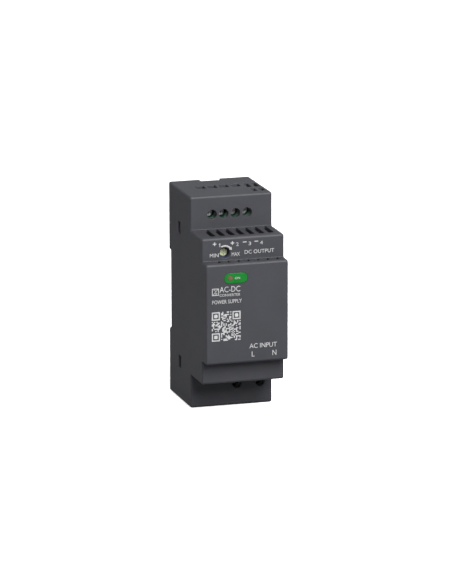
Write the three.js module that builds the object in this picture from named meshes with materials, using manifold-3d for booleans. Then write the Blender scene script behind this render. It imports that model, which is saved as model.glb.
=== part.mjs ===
// A two-module DIN-rail power supply: a stepped moulded case that clips on a 35 mm top-hat rail, with four
// output clamps at the top, two mains clamps at the bottom and a switching converter on boards inside.
//
// Millimetres. +Z is up the case, -Y is its front and +Y points at the wall. The origin is the middle of
// the rail seat: the face that rests on the rail, at the rail's centre line. A "depth" is measured forward
// from the plane of the case's back edges.
import * as THREE from "three";
import { mergeVertices } from "three/addons/utils/BufferGeometryUtils.js";
import Module from "manifold-3d";

const wasm = await Module();
wasm.setup();

// ---- Driving dimensions ------------------------------------------------------------------------------

// Case: three levels, each standing proud of the one before.
const WIDTH = 35.8;
const HEIGHT = 91;
const BAND_HEIGHT = 62.4;
const FRONT_HEIGHT = 42.8;
const TERMINAL_DEPTH = 32.6;
const BAND_STEP = 16.9;
const FRONT_STEP = 6.1;
const WALL = 1.6;
const SIDE_EDGE_RADIUS = 0.9;
const FACE_EDGE_RADIUS = 1.1;

// Clearances.
const FIT = 0.15; // between pieces that are pushed together
const RUN = 0.3; // between pieces that move past each other
const SEAT = 0.05; // under a piece that rests on another

// 35 mm top-hat rail and the channel that takes it.
const RAIL_HEIGHT = 35;
const RAIL_THICKNESS = 1;
const CHANNEL_DEPTH = 2.8;
const HOOK_OVERLAP = 1.2;
const SEAT_RELIEF = 0.2;
const FLANGE_GAP = RAIL_THICKNESS + 0.3;

// Rear base.
const BASE_FLOOR = 5.3;
const BASE_WALL = 1.8;
const BASE_RIM = 1.5;
const TONGUE_THICKNESS = 1.3;
const SNAP_Z = 29.05;
const SNAP_HEIGHT = 5.3;
const SNAP_DEPTH = 16.3;
const SNAP_LENGTH = 3.4;
const SNAP_CATCH = 1.1;
const BACK_GROOVE_WIDTH = 9;
const BACK_GROOVE_DEPTH = 3;

// Rail latch: a T-shaped slider with a coil spring in its window.
const LATCH_WIDTH = 12;
const LATCH_FLANGE = 2;
const LATCH_THICKNESS = 3;
const LATCH_NOSE_OVERLAP = 1.5;
const LATCH_TRAVEL = 3.5;
const SPRING_LENGTH = 10;
const SPRING_WIRE = 0.45;
const SPRING_DIAMETER = 2.6;
const SPRING_TURNS = 6;
const SPRING_POST = 1.6;

// Boards.
const BOARD_BACK = 9.4;
const BOARD_THICKNESS = 1.6;
const CONTROL_BOARD_THICKNESS = 1.2;
const SHEET_THICKNESS = 0.3;

// Screw clamps.
const OUTPUT_PITCH = 5.08;
const OUTPUT_POLES = 4;
const OUTPUT_CENTRE_X = -0.67;
const OUTPUT_INSET = 8.1; // from the top of the case to the screws
const INPUT_PITCH = 10.16;
const INPUT_POLES = 2;
const INPUT_CENTRE_X = 7.41;
const INPUT_INSET = 9.5; // from the bottom of the case to the screws
const SCREW_ACCESS = 3.9;
const SCREW_HEAD = 3.5;
const SCREW_HEAD_HEIGHT = 1.9;
const SCREW_SHANK = 2.5;
const SCREW_RECESS = 5.4; // from the terminal face to the screw head
const CAGE_WIDTH = 4;
const CAGE_LENGTH = 7.2;
const CAGE_HEIGHT = 4.4;
const CAGE_SIDE = 0.5;
const CAGE_END = 0.8;
const CAGE_TRAVEL = 2.25;
const WIRE_GAP = 3;
const CONTACT_THICKNESS = 0.8;
const CONTACT_WIDTH = 2.4;
const CONTACT_REACH = 3.6; // from the screw axis to the far side of the board pin
const BLOCK_REACH = CONTACT_REACH + 0.6;
const PIN_WIDTH = 1;
const WIRE_OPENING_X = 3.8;
const WIRE_OPENING_DEPTH = 5.2;
const FUNNEL_CHAMFER = 0.45;

// Trimmer, status window and light pipe.
const TRIMMER_X = -7.9;
const TRIMMER_Z = 24.6;
const TRIMMER_SIZE = 6.8;
const TRIMMER_BODY = 4.3;
const TRIMMER_ACCESS = 4.4;
const ROTOR_DIAMETER = 3.5;
const ROTOR_RECESS = 2.6; // from the band face to the rotor
const WINDOW_X = -4.9;
const WINDOW_Z = 15.1;
const WINDOW_LENGTH = 10.1;
const WINDOW_HEIGHT = 4.3;
const WINDOW_THICKNESS = 0.8;
const PIPE_X = -7.25;
const PIPE_DIAMETER = 2;

// Ventilation.
const VENT_WIDTH = 2.2;
const VENT_PITCH = 4.22;
const VENT_COUNT = 7;
const VENT_CENTRE_X = 0.95;
const BAND_VENT_START = 0.4; // forward of the terminal face
const BAND_VENT_LENGTH = 12.8;
const FRONT_VENT_LENGTH = 3.6;
const END_VENT_XS = [11.9, 15.3];
const END_VENT_WIDTH = 1.9;
const END_VENT_ROWS = [
  [12.8, 20.2],
  [23.4, 28.6],
];

// ---- Places worked out from them ---------------------------------------------------------------------

const BAND_DEPTH = TERMINAL_DEPTH + BAND_STEP;
const FRONT_DEPTH = BAND_DEPTH + FRONT_STEP;
const HALF_W = WIDTH / 2;
const HALF_H = HEIGHT / 2;
const INNER_W = HALF_W - WALL;
const INNER_H = HALF_H - WALL;
const BASE_W = INNER_W - FIT;
const BASE_H = INNER_H - FIT;
const BOARD_FRONT = BOARD_BACK + BOARD_THICKNESS;
const ON_BOARD = BOARD_FRONT + SEAT;
const HOOK_Z = RAIL_HEIGHT / 2 - HOOK_OVERLAP;
const RAIL_TOP = RAIL_HEIGHT / 2 + RUN;
const CHANNEL_BOTTOM = -RAIL_HEIGHT / 2 - RUN;
const NOSE_TOP = -RAIL_HEIGHT / 2 + LATCH_NOSE_OVERLAP;
const HOOK_THICKNESS = CHANNEL_DEPTH - FLANGE_GAP;
const LATCH_POCKET = LATCH_THICKNESS + 0.2 + RUN;
const OUTSIDE = 1; // how far a cut runs past the surface that it opens
const ROUND = 20; // sides of a round bore or rod

// ---- Geometry helpers --------------------------------------------------------------------------------

const y = (depth) => CHANNEL_DEPTH - depth;
const around = (centre, size) => [centre - size / 2, centre + size / 2];
const ordered = (a, b) => (a < b ? [a, b] : [b, a]);
const evenly = (count, pitch, middle) =>
  Array.from({ length: count }, (_, i) => middle + (i - (count - 1) / 2) * pitch);

// A block from three [low, high] spans, across, in depth and up.
function block(across, depth, up) {
  const size = [across, depth, up].map(([low, high]) => high - low);
  const geometry = new THREE.BoxGeometry(...size);
  const middle = [across, depth, up].map(([low, high]) => (low + high) / 2);
  return geometry.translate(middle[0], y(middle[1]), middle[2]);
}

// A round rod along the depth direction.
function rod(diameter, x, z, [near, far], sides = ROUND) {
  const geometry = new THREE.CylinderGeometry(diameter / 2, diameter / 2, far - near, sides);
  return geometry.translate(x, y((near + far) / 2), z);
}

// A disc standing on the board with its axis up the case.
function standingDisc(diameter, thickness, x, depth, z, sides = ROUND) {
  const geometry = new THREE.CylinderGeometry(diameter / 2, diameter / 2, thickness, sides);
  return geometry.rotateX(Math.PI / 2).translate(x, y(depth), z);
}

// A block whose sides flare outwards towards one end of the case, as a wire funnel does.
function flaredBlock(across, depth, [inner, outer], flare) {
  const geometry = block(across, depth, ordered(inner, outer));
  const position = geometry.getAttribute("position");
  const midX = (across[0] + across[1]) / 2;
  const midY = y((depth[0] + depth[1]) / 2);
  for (let i = 0; i < position.count; i += 1) {
    if (Math.abs(position.getZ(i) - outer) < 1e-6) {
      position.setX(i, position.getX(i) + flare * Math.sign(position.getX(i) - midX));
      position.setY(i, position.getY(i) + flare * Math.sign(position.getY(i) - midY));
    }
  }
  return geometry;
}

// An outline whose corners are [u, v, radius], where right-angled corners may be rounded.
function outline(corners) {
  const shape = new THREE.Shape();
  corners.forEach(([u, v, radius = 0], i) => {
    const corner = new THREE.Vector2(u, v);
    const [pu, pv] = corners.at(i - 1);
    const [nu, nv] = corners[(i + 1) % corners.length];
    const back = new THREE.Vector2(pu, pv).sub(corner).setLength(radius);
    const ahead = new THREE.Vector2(nu, nv).sub(corner).setLength(radius);
    const enter = corner.clone().add(back);
    if (i === 0) shape.moveTo(enter.x, enter.y);
    else shape.lineTo(enter.x, enter.y);
    if (radius > 0) {
      const centre = enter.clone().add(ahead);
      const from = Math.atan2(-ahead.y, -ahead.x);
      const to = Math.atan2(-back.y, -back.x);
      shape.absarc(centre.x, centre.y, radius, from, to, back.cross(ahead) > 0);
    }
  });
  shape.closePath();
  return shape;
}

// A side-view outline of [depth, z] corners, carried across the case and centred on it.
function acrossCase(corners, width, edge = 0) {
  const shape = outline(corners.map(([depth, z, radius]) => [y(depth), z, radius]));
  const geometry = new THREE.ExtrudeGeometry(shape, {
    depth: width - 2 * edge,
    curveSegments: 4,
    bevelEnabled: edge > 0,
    bevelThickness: edge,
    bevelSize: edge,
    bevelOffset: -edge,
    bevelSegments: 3,
  });
  geometry.translate(0, 0, edge - width / 2);
  const turn = new THREE.Matrix4().makeBasis(
    new THREE.Vector3(0, 1, 0),
    new THREE.Vector3(0, 0, 1),
    new THREE.Vector3(1, 0, 0),
  );
  return geometry.applyMatrix4(turn);
}

// A front-view outline of [x, z] corners, as a plate between two depths.
function frontPlate(corners, [near, far], curveSegments = 8) {
  const geometry = new THREE.ExtrudeGeometry(outline(corners), {
    depth: far - near,
    curveSegments,
    bevelEnabled: false,
  });
  return geometry.rotateX(Math.PI / 2).translate(0, y(near), 0);
}

const rectangle = ([left, right], [low, high], radius = 0) => [
  [left, low, radius],
  [right, low, radius],
  [right, high, radius],
  [left, high, radius],
];

// Boolean work on manifold-3d solids.
function solid(geometry) {
  const bare = geometry.clone();
  bare.deleteAttribute("normal");
  bare.deleteAttribute("uv");
  const merged = mergeVertices(bare, 1e-4);
  const vertProperties = new Float32Array(merged.getAttribute("position").array);
  const triVerts = new Uint32Array(merged.index.array);
  return new wasm.Manifold(new wasm.Mesh({ numProp: 3, vertProperties, triVerts }));
}

function shell(start, joined, cut) {
  let made = solid(start);
  for (const geometry of joined) made = made.add(solid(geometry));
  for (const geometry of cut) made = made.subtract(solid(geometry));
  const { numProp, vertProperties, triVerts } = made.getMesh();
  const position = new Float32Array(triVerts.length * 3);
  triVerts.forEach((vertex, i) => {
    position.set(vertProperties.subarray(vertex * numProp, vertex * numProp + 3), i * 3);
  });
  const geometry = new THREE.BufferGeometry();
  geometry.setAttribute("position", new THREE.BufferAttribute(position, 3));
  geometry.computeVertexNormals();
  return geometry;
}

const supply = new THREE.Group();

function place(name, geometry, material) {
  const mesh = new THREE.Mesh(geometry, material);
  mesh.name = name;
  supply.add(mesh);
  return mesh;
}

const finish = (color, roughness, metalness = 0) =>
  new THREE.MeshStandardMaterial({ color, roughness, metalness });

// ---- Materials ---------------------------------------------------------------------------------------

const casePlastic = finish(0x47484d, 0.55);
const basePlastic = finish(0x3c3d42, 0.6);
const latchPlastic = finish(0x2b2c30, 0.55);
const springSteel = finish(0xa9abad, 0.35, 1);
const terminalGreen = finish(0x0f5f39, 0.5);
const zincSteel = finish(0xb4b6b8, 0.35, 1);
const tinnedBrass = finish(0xb7ab8a, 0.35, 1);
const boardGreen = finish(0x1d5b37, 0.45);
const clearPlastic = finish(0xd8d8d2, 0.15);
const windowGreen = finish(0x12943c, 0.35);
const ledBody = finish(0xb9c7a8, 0.3);
const trimmerBlue = finish(0x2a4f9a, 0.45);
const rotorCream = finish(0xd9dbc4, 0.5);
const filmYellow = finish(0xd2a62b, 0.45);
const discBlue = finish(0x24549c, 0.4);
const discGreen = finish(0x2c6b4c, 0.5);
const ferrite = finish(0x3a3a3c, 0.7);
const copperWire = finish(0xa5552a, 0.3, 1);
const moulding = finish(0x1c1c1e, 0.6);
const capSleeve = finish(0x20242c, 0.4);
const aluminium = finish(0xb9bbbd, 0.4, 1);
const bobbinBrown = finish(0x3a2b22, 0.55);
const windingTape = finish(0xcfa53a, 0.5);
const insulator = finish(0xe6e2d2, 0.6);

// ---- Case --------------------------------------------------------------------------------------------

// The stepped side view, set in from the outside by a margin, running past the back plane by `past`.
function caseCorners(margin, past, radius) {
  const level = (height) => height / 2 - margin;
  const [low, mid, high] = [HEIGHT, BAND_HEIGHT, FRONT_HEIGHT].map(level);
  const [d1, d2, d3] = [TERMINAL_DEPTH, BAND_DEPTH, FRONT_DEPTH].map((depth) => depth - margin);
  return [
    [-past, -low],
    [-past, low],
    [d1, low, radius],
    [d1, mid],
    [d2, mid, radius],
    [d2, high],
    [d3, high, radius],
    [d3, -high, radius],
    [d2, -high],
    [d2, -mid, radius],
    [d1, -mid],
    [d1, -low, radius],
  ];
}

const outputs = {
  name: "output",
  sign: 1,
  xs: evenly(OUTPUT_POLES, OUTPUT_PITCH, OUTPUT_CENTRE_X),
  labels: ["1", "2", "3", "4"],
  axis: HALF_H - OUTPUT_INSET,
  margin: OUTPUT_PITCH / 2 + 0.4,
};

const inputs = {
  name: "input",
  sign: -1,
  xs: evenly(INPUT_POLES, INPUT_PITCH, INPUT_CENTRE_X),
  labels: ["line", "neutral"],
  axis: HALF_H - INPUT_INSET,
  margin: OUTPUT_PITCH / 2 + 0.7,
};

const CAGE_BACK = BOARD_FRONT + 0.9 + RUN;
const BAR_BACK = CAGE_BACK + CAGE_END + WIRE_GAP;
const WIRE_DEPTH = CAGE_BACK + CAGE_END + WIRE_OPENING_DEPTH / 2 - 0.5;
const wireSpan = around(WIRE_DEPTH, WIRE_OPENING_DEPTH);

// Everything that the case wall leaves open for one row of clamps: screw holes, wire funnels.
function clampCuts({ sign, xs, axis }) {
  const wallSpan = [INNER_H - OUTSIDE, HALF_H - FUNNEL_CHAMFER].map((z) => z * sign);
  return xs.flatMap((x) => [
    rod(SCREW_ACCESS, x, sign * axis, [TERMINAL_DEPTH - WALL - OUTSIDE, TERMINAL_DEPTH + OUTSIDE]),
    block(around(x, WIRE_OPENING_X), wireSpan, ordered(...wallSpan)),
    flaredBlock(
      around(x, WIRE_OPENING_X),
      wireSpan,
      [sign * (HALF_H - FUNNEL_CHAMFER - 0.01), sign * (HALF_H + 0.01)],
      FUNNEL_CHAMFER,
    ),
  ]);
}

function ventCuts(sign) {
  const xs = evenly(VENT_COUNT, VENT_PITCH, VENT_CENTRE_X);
  const through = (height) => ordered(sign * (height / 2 - WALL - OUTSIDE), sign * (height / 2 + OUTSIDE));
  const bandStart = TERMINAL_DEPTH + BAND_VENT_START;
  return xs.flatMap((x) => [
    block(around(x, VENT_WIDTH), [bandStart, bandStart + BAND_VENT_LENGTH], through(BAND_HEIGHT)),
    block(around(x, VENT_WIDTH), [BAND_DEPTH + 0.1, BAND_DEPTH + FRONT_VENT_LENGTH], through(FRONT_HEIGHT)),
  ]);
}

function endVentCuts(sign) {
  const through = ordered(sign * (INNER_H - OUTSIDE), sign * (HALF_H + OUTSIDE));
  return END_VENT_XS.flatMap((x) =>
    END_VENT_ROWS.map((row) => block(around(sign * x, END_VENT_WIDTH), row, through)),
  );
}

const snapWindows = [-1, 1].flatMap((side) =>
  [-1, 1].map((end) =>
    block(
      ordered(side * (INNER_W - OUTSIDE), side * (HALF_W + OUTSIDE)),
      around(SNAP_DEPTH, SNAP_LENGTH),
      around(end * SNAP_Z, SNAP_HEIGHT),
    ),
  ),
);

// The rail channel, right across the case, with a relief behind its upper hook and one behind the latch.
const wholeWidth = [-HALF_W - OUTSIDE, HALF_W + OUTSIDE];
const railCuts = [
  block(wholeWidth, [-OUTSIDE, CHANNEL_DEPTH], [CHANNEL_BOTTOM, HOOK_Z]),
  block(wholeWidth, [HOOK_THICKNESS, CHANNEL_DEPTH + SEAT_RELIEF], [HOOK_Z - SEAT_RELIEF, RAIL_TOP]),
  block(wholeWidth, [OUTSIDE, CHANNEL_DEPTH + SEAT_RELIEF], [CHANNEL_BOTTOM, NOSE_TOP + RUN]),
];

const backGroove = block(
  around(0, BACK_GROOVE_WIDTH),
  [-OUTSIDE, BACK_GROOVE_DEPTH],
  [HOOK_Z - OUTSIDE, HALF_H + OUTSIDE],
);

const latchGate = block(
  around(0, LATCH_WIDTH + 2 * LATCH_FLANGE + 2 * RUN),
  [-OUTSIDE, LATCH_POCKET],
  [-HALF_H - OUTSIDE, -INNER_H + OUTSIDE],
);

const windowRecess = frontPlate(
  rectangle(
    around(WINDOW_X, WINDOW_LENGTH + 2 * FIT),
    around(WINDOW_Z, WINDOW_HEIGHT + 2 * FIT),
    WINDOW_HEIGHT / 2 + FIT - 0.01,
  ),
  [FRONT_DEPTH - WINDOW_THICKNESS - SEAT, FRONT_DEPTH + OUTSIDE],
);

const pipeHole = rod(PIPE_DIAMETER + 2 * RUN, PIPE_X, WINDOW_Z, [BAND_DEPTH - WALL, FRONT_DEPTH + OUTSIDE]);

const frontHousing = shell(
  acrossCase(caseCorners(0, 0, FACE_EDGE_RADIUS), WIDTH, SIDE_EDGE_RADIUS),
  [],
  [
    acrossCase(caseCorners(WALL, OUTSIDE, 0), 2 * INNER_W),
    ...clampCuts(outputs),
    ...clampCuts(inputs),
    ...ventCuts(1),
    ...ventCuts(-1),
    ...endVentCuts(1),
    ...endVentCuts(-1),
    ...snapWindows,
    ...railCuts,
    backGroove,
    latchGate,
    rod(TRIMMER_ACCESS, TRIMMER_X, TRIMMER_Z, [BAND_DEPTH - WALL - OUTSIDE, BAND_DEPTH + OUTSIDE], 24),
    windowRecess,
    pipeHole,
  ],
);
place("front_housing", frontHousing, casePlastic);

const statusWindow = shell(
  frontPlate(
    rectangle(around(WINDOW_X, WINDOW_LENGTH), around(WINDOW_Z, WINDOW_HEIGHT), WINDOW_HEIGHT / 2 - 0.01),
    [FRONT_DEPTH - WINDOW_THICKNESS, FRONT_DEPTH - 0.02],
  ),
  [],
  [pipeHole],
);
place("status_window", statusWindow, windowGreen);

// ---- Rear base ---------------------------------------------------------------------------------------

const LATCH_STOP = CHANNEL_BOTTOM - 1.4;
const latchCentre = around(0, LATCH_WIDTH);
const latchWide = around(0, LATCH_WIDTH + 2 * LATCH_FLANGE);
const widen = ([low, high], by) => [low - by, high + by];
const SPRING_TOP = LATCH_STOP - 9.3;
const SPRING_FOOT = SPRING_TOP - SPRING_LENGTH;
const SPRING_DEPTH = 0.2 + LATCH_THICKNESS / 2;
const postSpan = [SPRING_FOOT - SPRING_POST, SPRING_FOOT];

// One snap tongue with a ramped hook that springs out into the side window of the case.
function tongue(side, end) {
  const up = around(end * SNAP_Z, SNAP_HEIGHT - 2 * RUN);
  const hookBack = SNAP_DEPTH - SNAP_LENGTH / 2 + RUN;
  const hookFront = SNAP_DEPTH + SNAP_LENGTH / 2 - RUN;
  const stemX = ordered(side * (BASE_W - TONGUE_THICKNESS), side * BASE_W);
  const stem = block(stemX, [BOARD_BACK - 2, hookFront], up);
  const rampX = ordered(side * (BASE_W - 0.2), side * (BASE_W + SNAP_CATCH));
  const ramp = block(rampX, [hookBack, hookFront], up);
  const position = ramp.getAttribute("position");
  for (let i = 0; i < position.count; i += 1) {
    const outer = Math.abs(position.getX(i)) > BASE_W;
    const front = Math.abs(position.getY(i) - y(hookFront)) < 1e-6;
    if (outer && front) position.setX(i, side * (BASE_W + 0.1));
  }
  return [stem, ramp];
}

const rims = [-1, 1].map((side) =>
  block(
    ordered(side * (BASE_W - BASE_RIM), side * BASE_W),
    [BASE_FLOOR - 0.5, BOARD_BACK - SEAT],
    [-BASE_H, BASE_H],
  ),
);

// Pockets that leave the base's walls an even thickness, above the channel and beside the latch.
const grooveWall = BACK_GROOVE_WIDTH / 2 + BASE_WALL;
const latchWall = LATCH_WIDTH / 2 + LATCH_FLANGE + RUN + BASE_WALL;
const pocketDepth = [BASE_WALL, BASE_FLOOR + OUTSIDE];
const pockets = [-1, 1].flatMap((side) => [
  block(
    ordered(side * grooveWall, side * (BASE_W - BASE_WALL)),
    pocketDepth,
    [RAIL_TOP + BASE_WALL, BASE_H - BASE_WALL],
  ),
  block(
    ordered(side * latchWall, side * (BASE_W - BASE_WALL)),
    pocketDepth,
    [-BASE_H + BASE_WALL, CHANNEL_BOTTOM - BASE_WALL],
  ),
]);

const latchTrack = [
  block(widen(latchCentre, RUN), [-OUTSIDE, LATCH_POCKET], [LATCH_STOP, CHANNEL_BOTTOM + OUTSIDE]),
  block(widen(latchCentre, RUN), [-OUTSIDE, LATCH_POCKET], [-HALF_H, LATCH_STOP + 0.1]),
  block(widen(latchWide, RUN), [HOOK_THICKNESS, LATCH_POCKET], [-HALF_H, LATCH_STOP]),
];

const postDepth = [SPRING_DEPTH - SPRING_DIAMETER / 2, LATCH_POCKET + 0.5];
const springPost = block(around(0, SPRING_DIAMETER), postDepth, postSpan);

const baseBody = shell(
  block([-BASE_W, BASE_W], [0, BASE_FLOOR], [-BASE_H, BASE_H]),
  rims,
  [...railCuts, backGroove, ...pockets, ...latchTrack],
);
const snaps = [-1, 1].flatMap((side) => [-1, 1].flatMap((end) => tongue(side, end)));
place("rear_base", shell(baseBody, [...snaps, springPost], []), basePlastic);

// ---- Rail latch and its spring -----------------------------------------------------------------------

const latchFront = 0.2 + LATCH_THICKNESS;
const latchFoot = -HALF_H + 0.2;
const noseFront = HOOK_THICKNESS;
const latchShoulder = LATCH_STOP - RUN;
const windowX = around(0, SPRING_DIAMETER + 4 * RUN);

const latch = shell(
  block(latchCentre, [0.2, latchFront], [latchFoot, latchShoulder]),
  [
    block(latchWide, [HOOK_THICKNESS + RUN, latchFront], [latchFoot + 4, latchShoulder]),
    acrossCase(
      [
        [0.2, latchShoulder - 1],
        [0.2, NOSE_TOP - 1.1],
        [noseFront - 0.5, NOSE_TOP],
        [noseFront, NOSE_TOP],
        [noseFront, latchShoulder - 1],
      ],
      LATCH_WIDTH,
    ),
  ],
  [
    block(windowX, [-OUTSIDE, latchFront + OUTSIDE], [postSpan[0] - RUN, SPRING_TOP]),
    block(around(0, 6), [-OUTSIDE, latchFront + OUTSIDE], [latchFoot + 1.4, latchFoot + 3]),
  ],
);
place("rail_latch", latch, latchPlastic);

class Helix extends THREE.Curve {
  constructor(radius, turns, x, depth, [low, high]) {
    super();
    Object.assign(this, { radius, turns, x, depth, low, high });
  }
  getPoint(t, target = new THREE.Vector3()) {
    const angle = 2 * Math.PI * this.turns * t;
    const rise = this.low + (this.high - this.low) * t;
    return target.set(
      this.x + this.radius * Math.cos(angle),
      y(this.depth) + this.radius * Math.sin(angle),
      rise,
    );
  }
}

const wireSection = new THREE.Shape().absarc(0, 0, SPRING_WIRE / 2, 0, 2 * Math.PI);
const coilRadius = (SPRING_DIAMETER - SPRING_WIRE) / 2;
const coilSpan = [SPRING_FOOT + SPRING_WIRE / 2 + SEAT, SPRING_TOP - SPRING_WIRE / 2 - SEAT];
const coil = new THREE.ExtrudeGeometry(wireSection, {
  steps: SPRING_TURNS * 12,
  curveSegments: 6,
  extrudePath: new Helix(coilRadius, SPRING_TURNS, 0, SPRING_DEPTH, coilSpan),
});
place("latch_spring", coil, springSteel);

// ---- Boards and sheet --------------------------------------------------------------------------------

const pinSpan = ({ sign, axis }) =>
  ordered(sign * (axis - CONTACT_REACH), sign * (axis - CONTACT_REACH + CONTACT_THICKNESS));
const throughBoard = [0, BOARD_FRONT + OUTSIDE];
const pinHoles = [outputs, inputs].flatMap((row) =>
  row.xs.map((x) => block(around(x, PIN_WIDTH + 2 * RUN), throughBoard, widen(pinSpan(row), RUN))),
);
const tongueNotches = [-1, 1].flatMap((side) =>
  [-1, 1].map((end) =>
    block(
      ordered(side * (BASE_W - TONGUE_THICKNESS - RUN), side * HALF_W),
      throughBoard,
      around(end * SNAP_Z, SNAP_HEIGHT),
    ),
  ),
);
const board = shell(
  block([-BASE_W + RUN, BASE_W - RUN], [BOARD_BACK, BOARD_FRONT], [-BASE_H + RUN, BASE_H - RUN]),
  [],
  [...pinHoles, ...tongueNotches],
);
place("main_board", board, boardGreen);

const sheetEdge = BASE_W - BASE_RIM - RUN;
const sheet = block(
  [-sheetEdge, sheetEdge],
  [BASE_FLOOR + SEAT, BASE_FLOOR + SEAT + SHEET_THICKNESS],
  [-BASE_H + RUN, BASE_H - RUN],
);
place("insulating_sheet", sheet, insulator);

const CONTROL_FACE = TRIMMER_X - TRIMMER_SIZE / 2 - SEAT;
const CONTROL_FRONT = BAND_DEPTH - WALL - 1.5;
const controlZ = [9.5, 28.6];
const controlX = [CONTROL_FACE - CONTROL_BOARD_THICKNESS, CONTROL_FACE];
place("control_board", block(controlX, [ON_BOARD, CONTROL_FRONT], controlZ), boardGreen);

// ---- Screw clamps ------------------------------------------------------------------------------------

const BLOCK_FRONT = TERMINAL_DEPTH - WALL - FIT;
const HEAD_FRONT = TERMINAL_DEPTH - SCREW_RECESS;
const HEAD_BACK = HEAD_FRONT - SCREW_HEAD_HEIGHT;
const SHOULDER = HEAD_BACK - RUN;
const CHAMBER_FRONT = CAGE_BACK + CAGE_LENGTH + CAGE_TRAVEL + RUN;
const SCREW_TIP = BAR_BACK + CONTACT_THICKNESS + 0.4;
const neckBore = SCREW_SHANK + 2 * RUN;

// The green body of one row: a bore for each screw, a chamber for its cage and the way in for its wire.
function clampBody(row) {
  const { sign, xs, axis, margin } = row;
  const up = (from, to) => ordered(sign * from, sign * to);
  const cuts = xs.flatMap((x) => [
    rod(SCREW_HEAD + 2 * RUN, x, sign * axis, [SHOULDER, BLOCK_FRONT + OUTSIDE]),
    rod(neckBore, x, sign * axis, [CHAMBER_FRONT - 0.2, SHOULDER + 0.1], 16),
    block(
      around(x, CAGE_WIDTH + 2 * 0.25),
      [CAGE_BACK - RUN, CHAMBER_FRONT],
      up(axis - CAGE_HEIGHT / 2 - RUN, axis + CAGE_HEIGHT / 2 + RUN),
    ),
    block(around(x, WIRE_OPENING_X - 0.2), widen(wireSpan, -0.1), up(axis, HALF_H)),
    block(
      around(x, CONTACT_WIDTH + 2 * RUN),
      [BAR_BACK - RUN, BAR_BACK + CONTACT_THICKNESS + RUN],
      up(axis - CONTACT_REACH - RUN, axis + CAGE_HEIGHT / 2 + 2 * RUN),
    ),
    block(
      around(x, PIN_WIDTH + 2 * RUN),
      [BOARD_BACK, BAR_BACK + CONTACT_THICKNESS + RUN],
      up(axis - CONTACT_REACH - RUN, axis - CONTACT_REACH + CONTACT_THICKNESS + RUN),
    ),
  ]);
  const bodyX = [xs[0] - margin, xs.at(-1) + margin];
  const body = block(bodyX, [ON_BOARD, BLOCK_FRONT], up(axis - BLOCK_REACH, INNER_H - FIT));
  return shell(body, [], cuts);
}

// A captive screw: a slotted head that stays put and a shank that draws the cage along.
function clampScrew(x, z) {
  const head = rod(SCREW_HEAD, x, z, [HEAD_BACK, HEAD_FRONT]);
  const shank = rod(SCREW_SHANK, x, z, [SCREW_TIP, HEAD_BACK + 0.2], 14);
  const slots = [
    block(around(x, 0.6), [HEAD_FRONT - 0.9, HEAD_FRONT + OUTSIDE], around(z, SCREW_HEAD + OUTSIDE)),
    block(around(x, 2.2), [HEAD_FRONT - 0.8, HEAD_FRONT + OUTSIDE], around(z, 0.6)),
  ];
  return shell(head, [shank], slots);
}

// A bent-strip cage, open up and down the case so that the wire and the contact bar pass through it.
function clampCage(x, z) {
  const outer = [CAGE_BACK, CAGE_BACK + CAGE_LENGTH];
  const inner = widen(outer, -CAGE_END);
  const height = around(z, CAGE_HEIGHT);
  return shell(
    block(around(x, CAGE_WIDTH), outer, height),
    [],
    [
      block(around(x, CAGE_WIDTH - 2 * CAGE_SIDE), inner, widen(height, OUTSIDE)),
      rod(neckBore, x, z, [inner[1] - OUTSIDE, outer[1] + OUTSIDE], 14),
    ],
  );
}

// The fixed contact: a bar through the cage, bent to a pin that passes through the board.
function clampContact(x, row) {
  const { sign, axis } = row;
  const bar = ordered(sign * (axis - CONTACT_REACH), sign * (axis + CAGE_HEIGHT / 2 + RUN));
  return shell(
    block(around(x, CONTACT_WIDTH), [BAR_BACK, BAR_BACK + CONTACT_THICKNESS], bar),
    [block(around(x, PIN_WIDTH), [BOARD_BACK - 2.2, BAR_BACK + 0.1], pinSpan(row))],
    [],
  );
}

for (const row of [outputs, inputs]) {
  place(`${row.name}_terminal_block`, clampBody(row), terminalGreen);
  row.xs.forEach((x, i) => {
    const z = row.sign * row.axis;
    place(`${row.name}_screw_${row.labels[i]}`, clampScrew(x, z), zincSteel);
    place(`${row.name}_cage_${row.labels[i]}`, clampCage(x, z), zincSteel);
    place(`${row.name}_contact_${row.labels[i]}`, clampContact(x, row), tinnedBrass);
  });
}

// ---- Trimmer, LED and light pipe ---------------------------------------------------------------------

const ROTOR_FRONT = BAND_DEPTH - ROTOR_RECESS;
const ROTOR_HEIGHT = 1.4;
const TRIMMER_FRONT = ROTOR_FRONT - 0.5;
const trimmerAxis = [TRIMMER_X, TRIMMER_Z];
const rotorDepth = [ROTOR_FRONT - ROTOR_HEIGHT, ROTOR_FRONT];
const trimmerBody = shell(
  block(
    around(TRIMMER_X, TRIMMER_SIZE),
    [TRIMMER_FRONT - TRIMMER_BODY, TRIMMER_FRONT],
    around(TRIMMER_Z, TRIMMER_SIZE),
  ),
  [],
  [rod(ROTOR_DIAMETER + 2 * RUN, ...trimmerAxis, widen(rotorDepth, RUN))],
);
place("trimmer_body", trimmerBody, trimmerBlue);

const rotorSlot = block(
  around(TRIMMER_X, ROTOR_DIAMETER + OUTSIDE),
  [ROTOR_FRONT - 0.7, ROTOR_FRONT + OUTSIDE],
  around(TRIMMER_Z, 0.7),
);
place("trimmer_rotor", shell(rod(ROTOR_DIAMETER, ...trimmerAxis, rotorDepth), [], [rotorSlot]), rotorCream);

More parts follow.
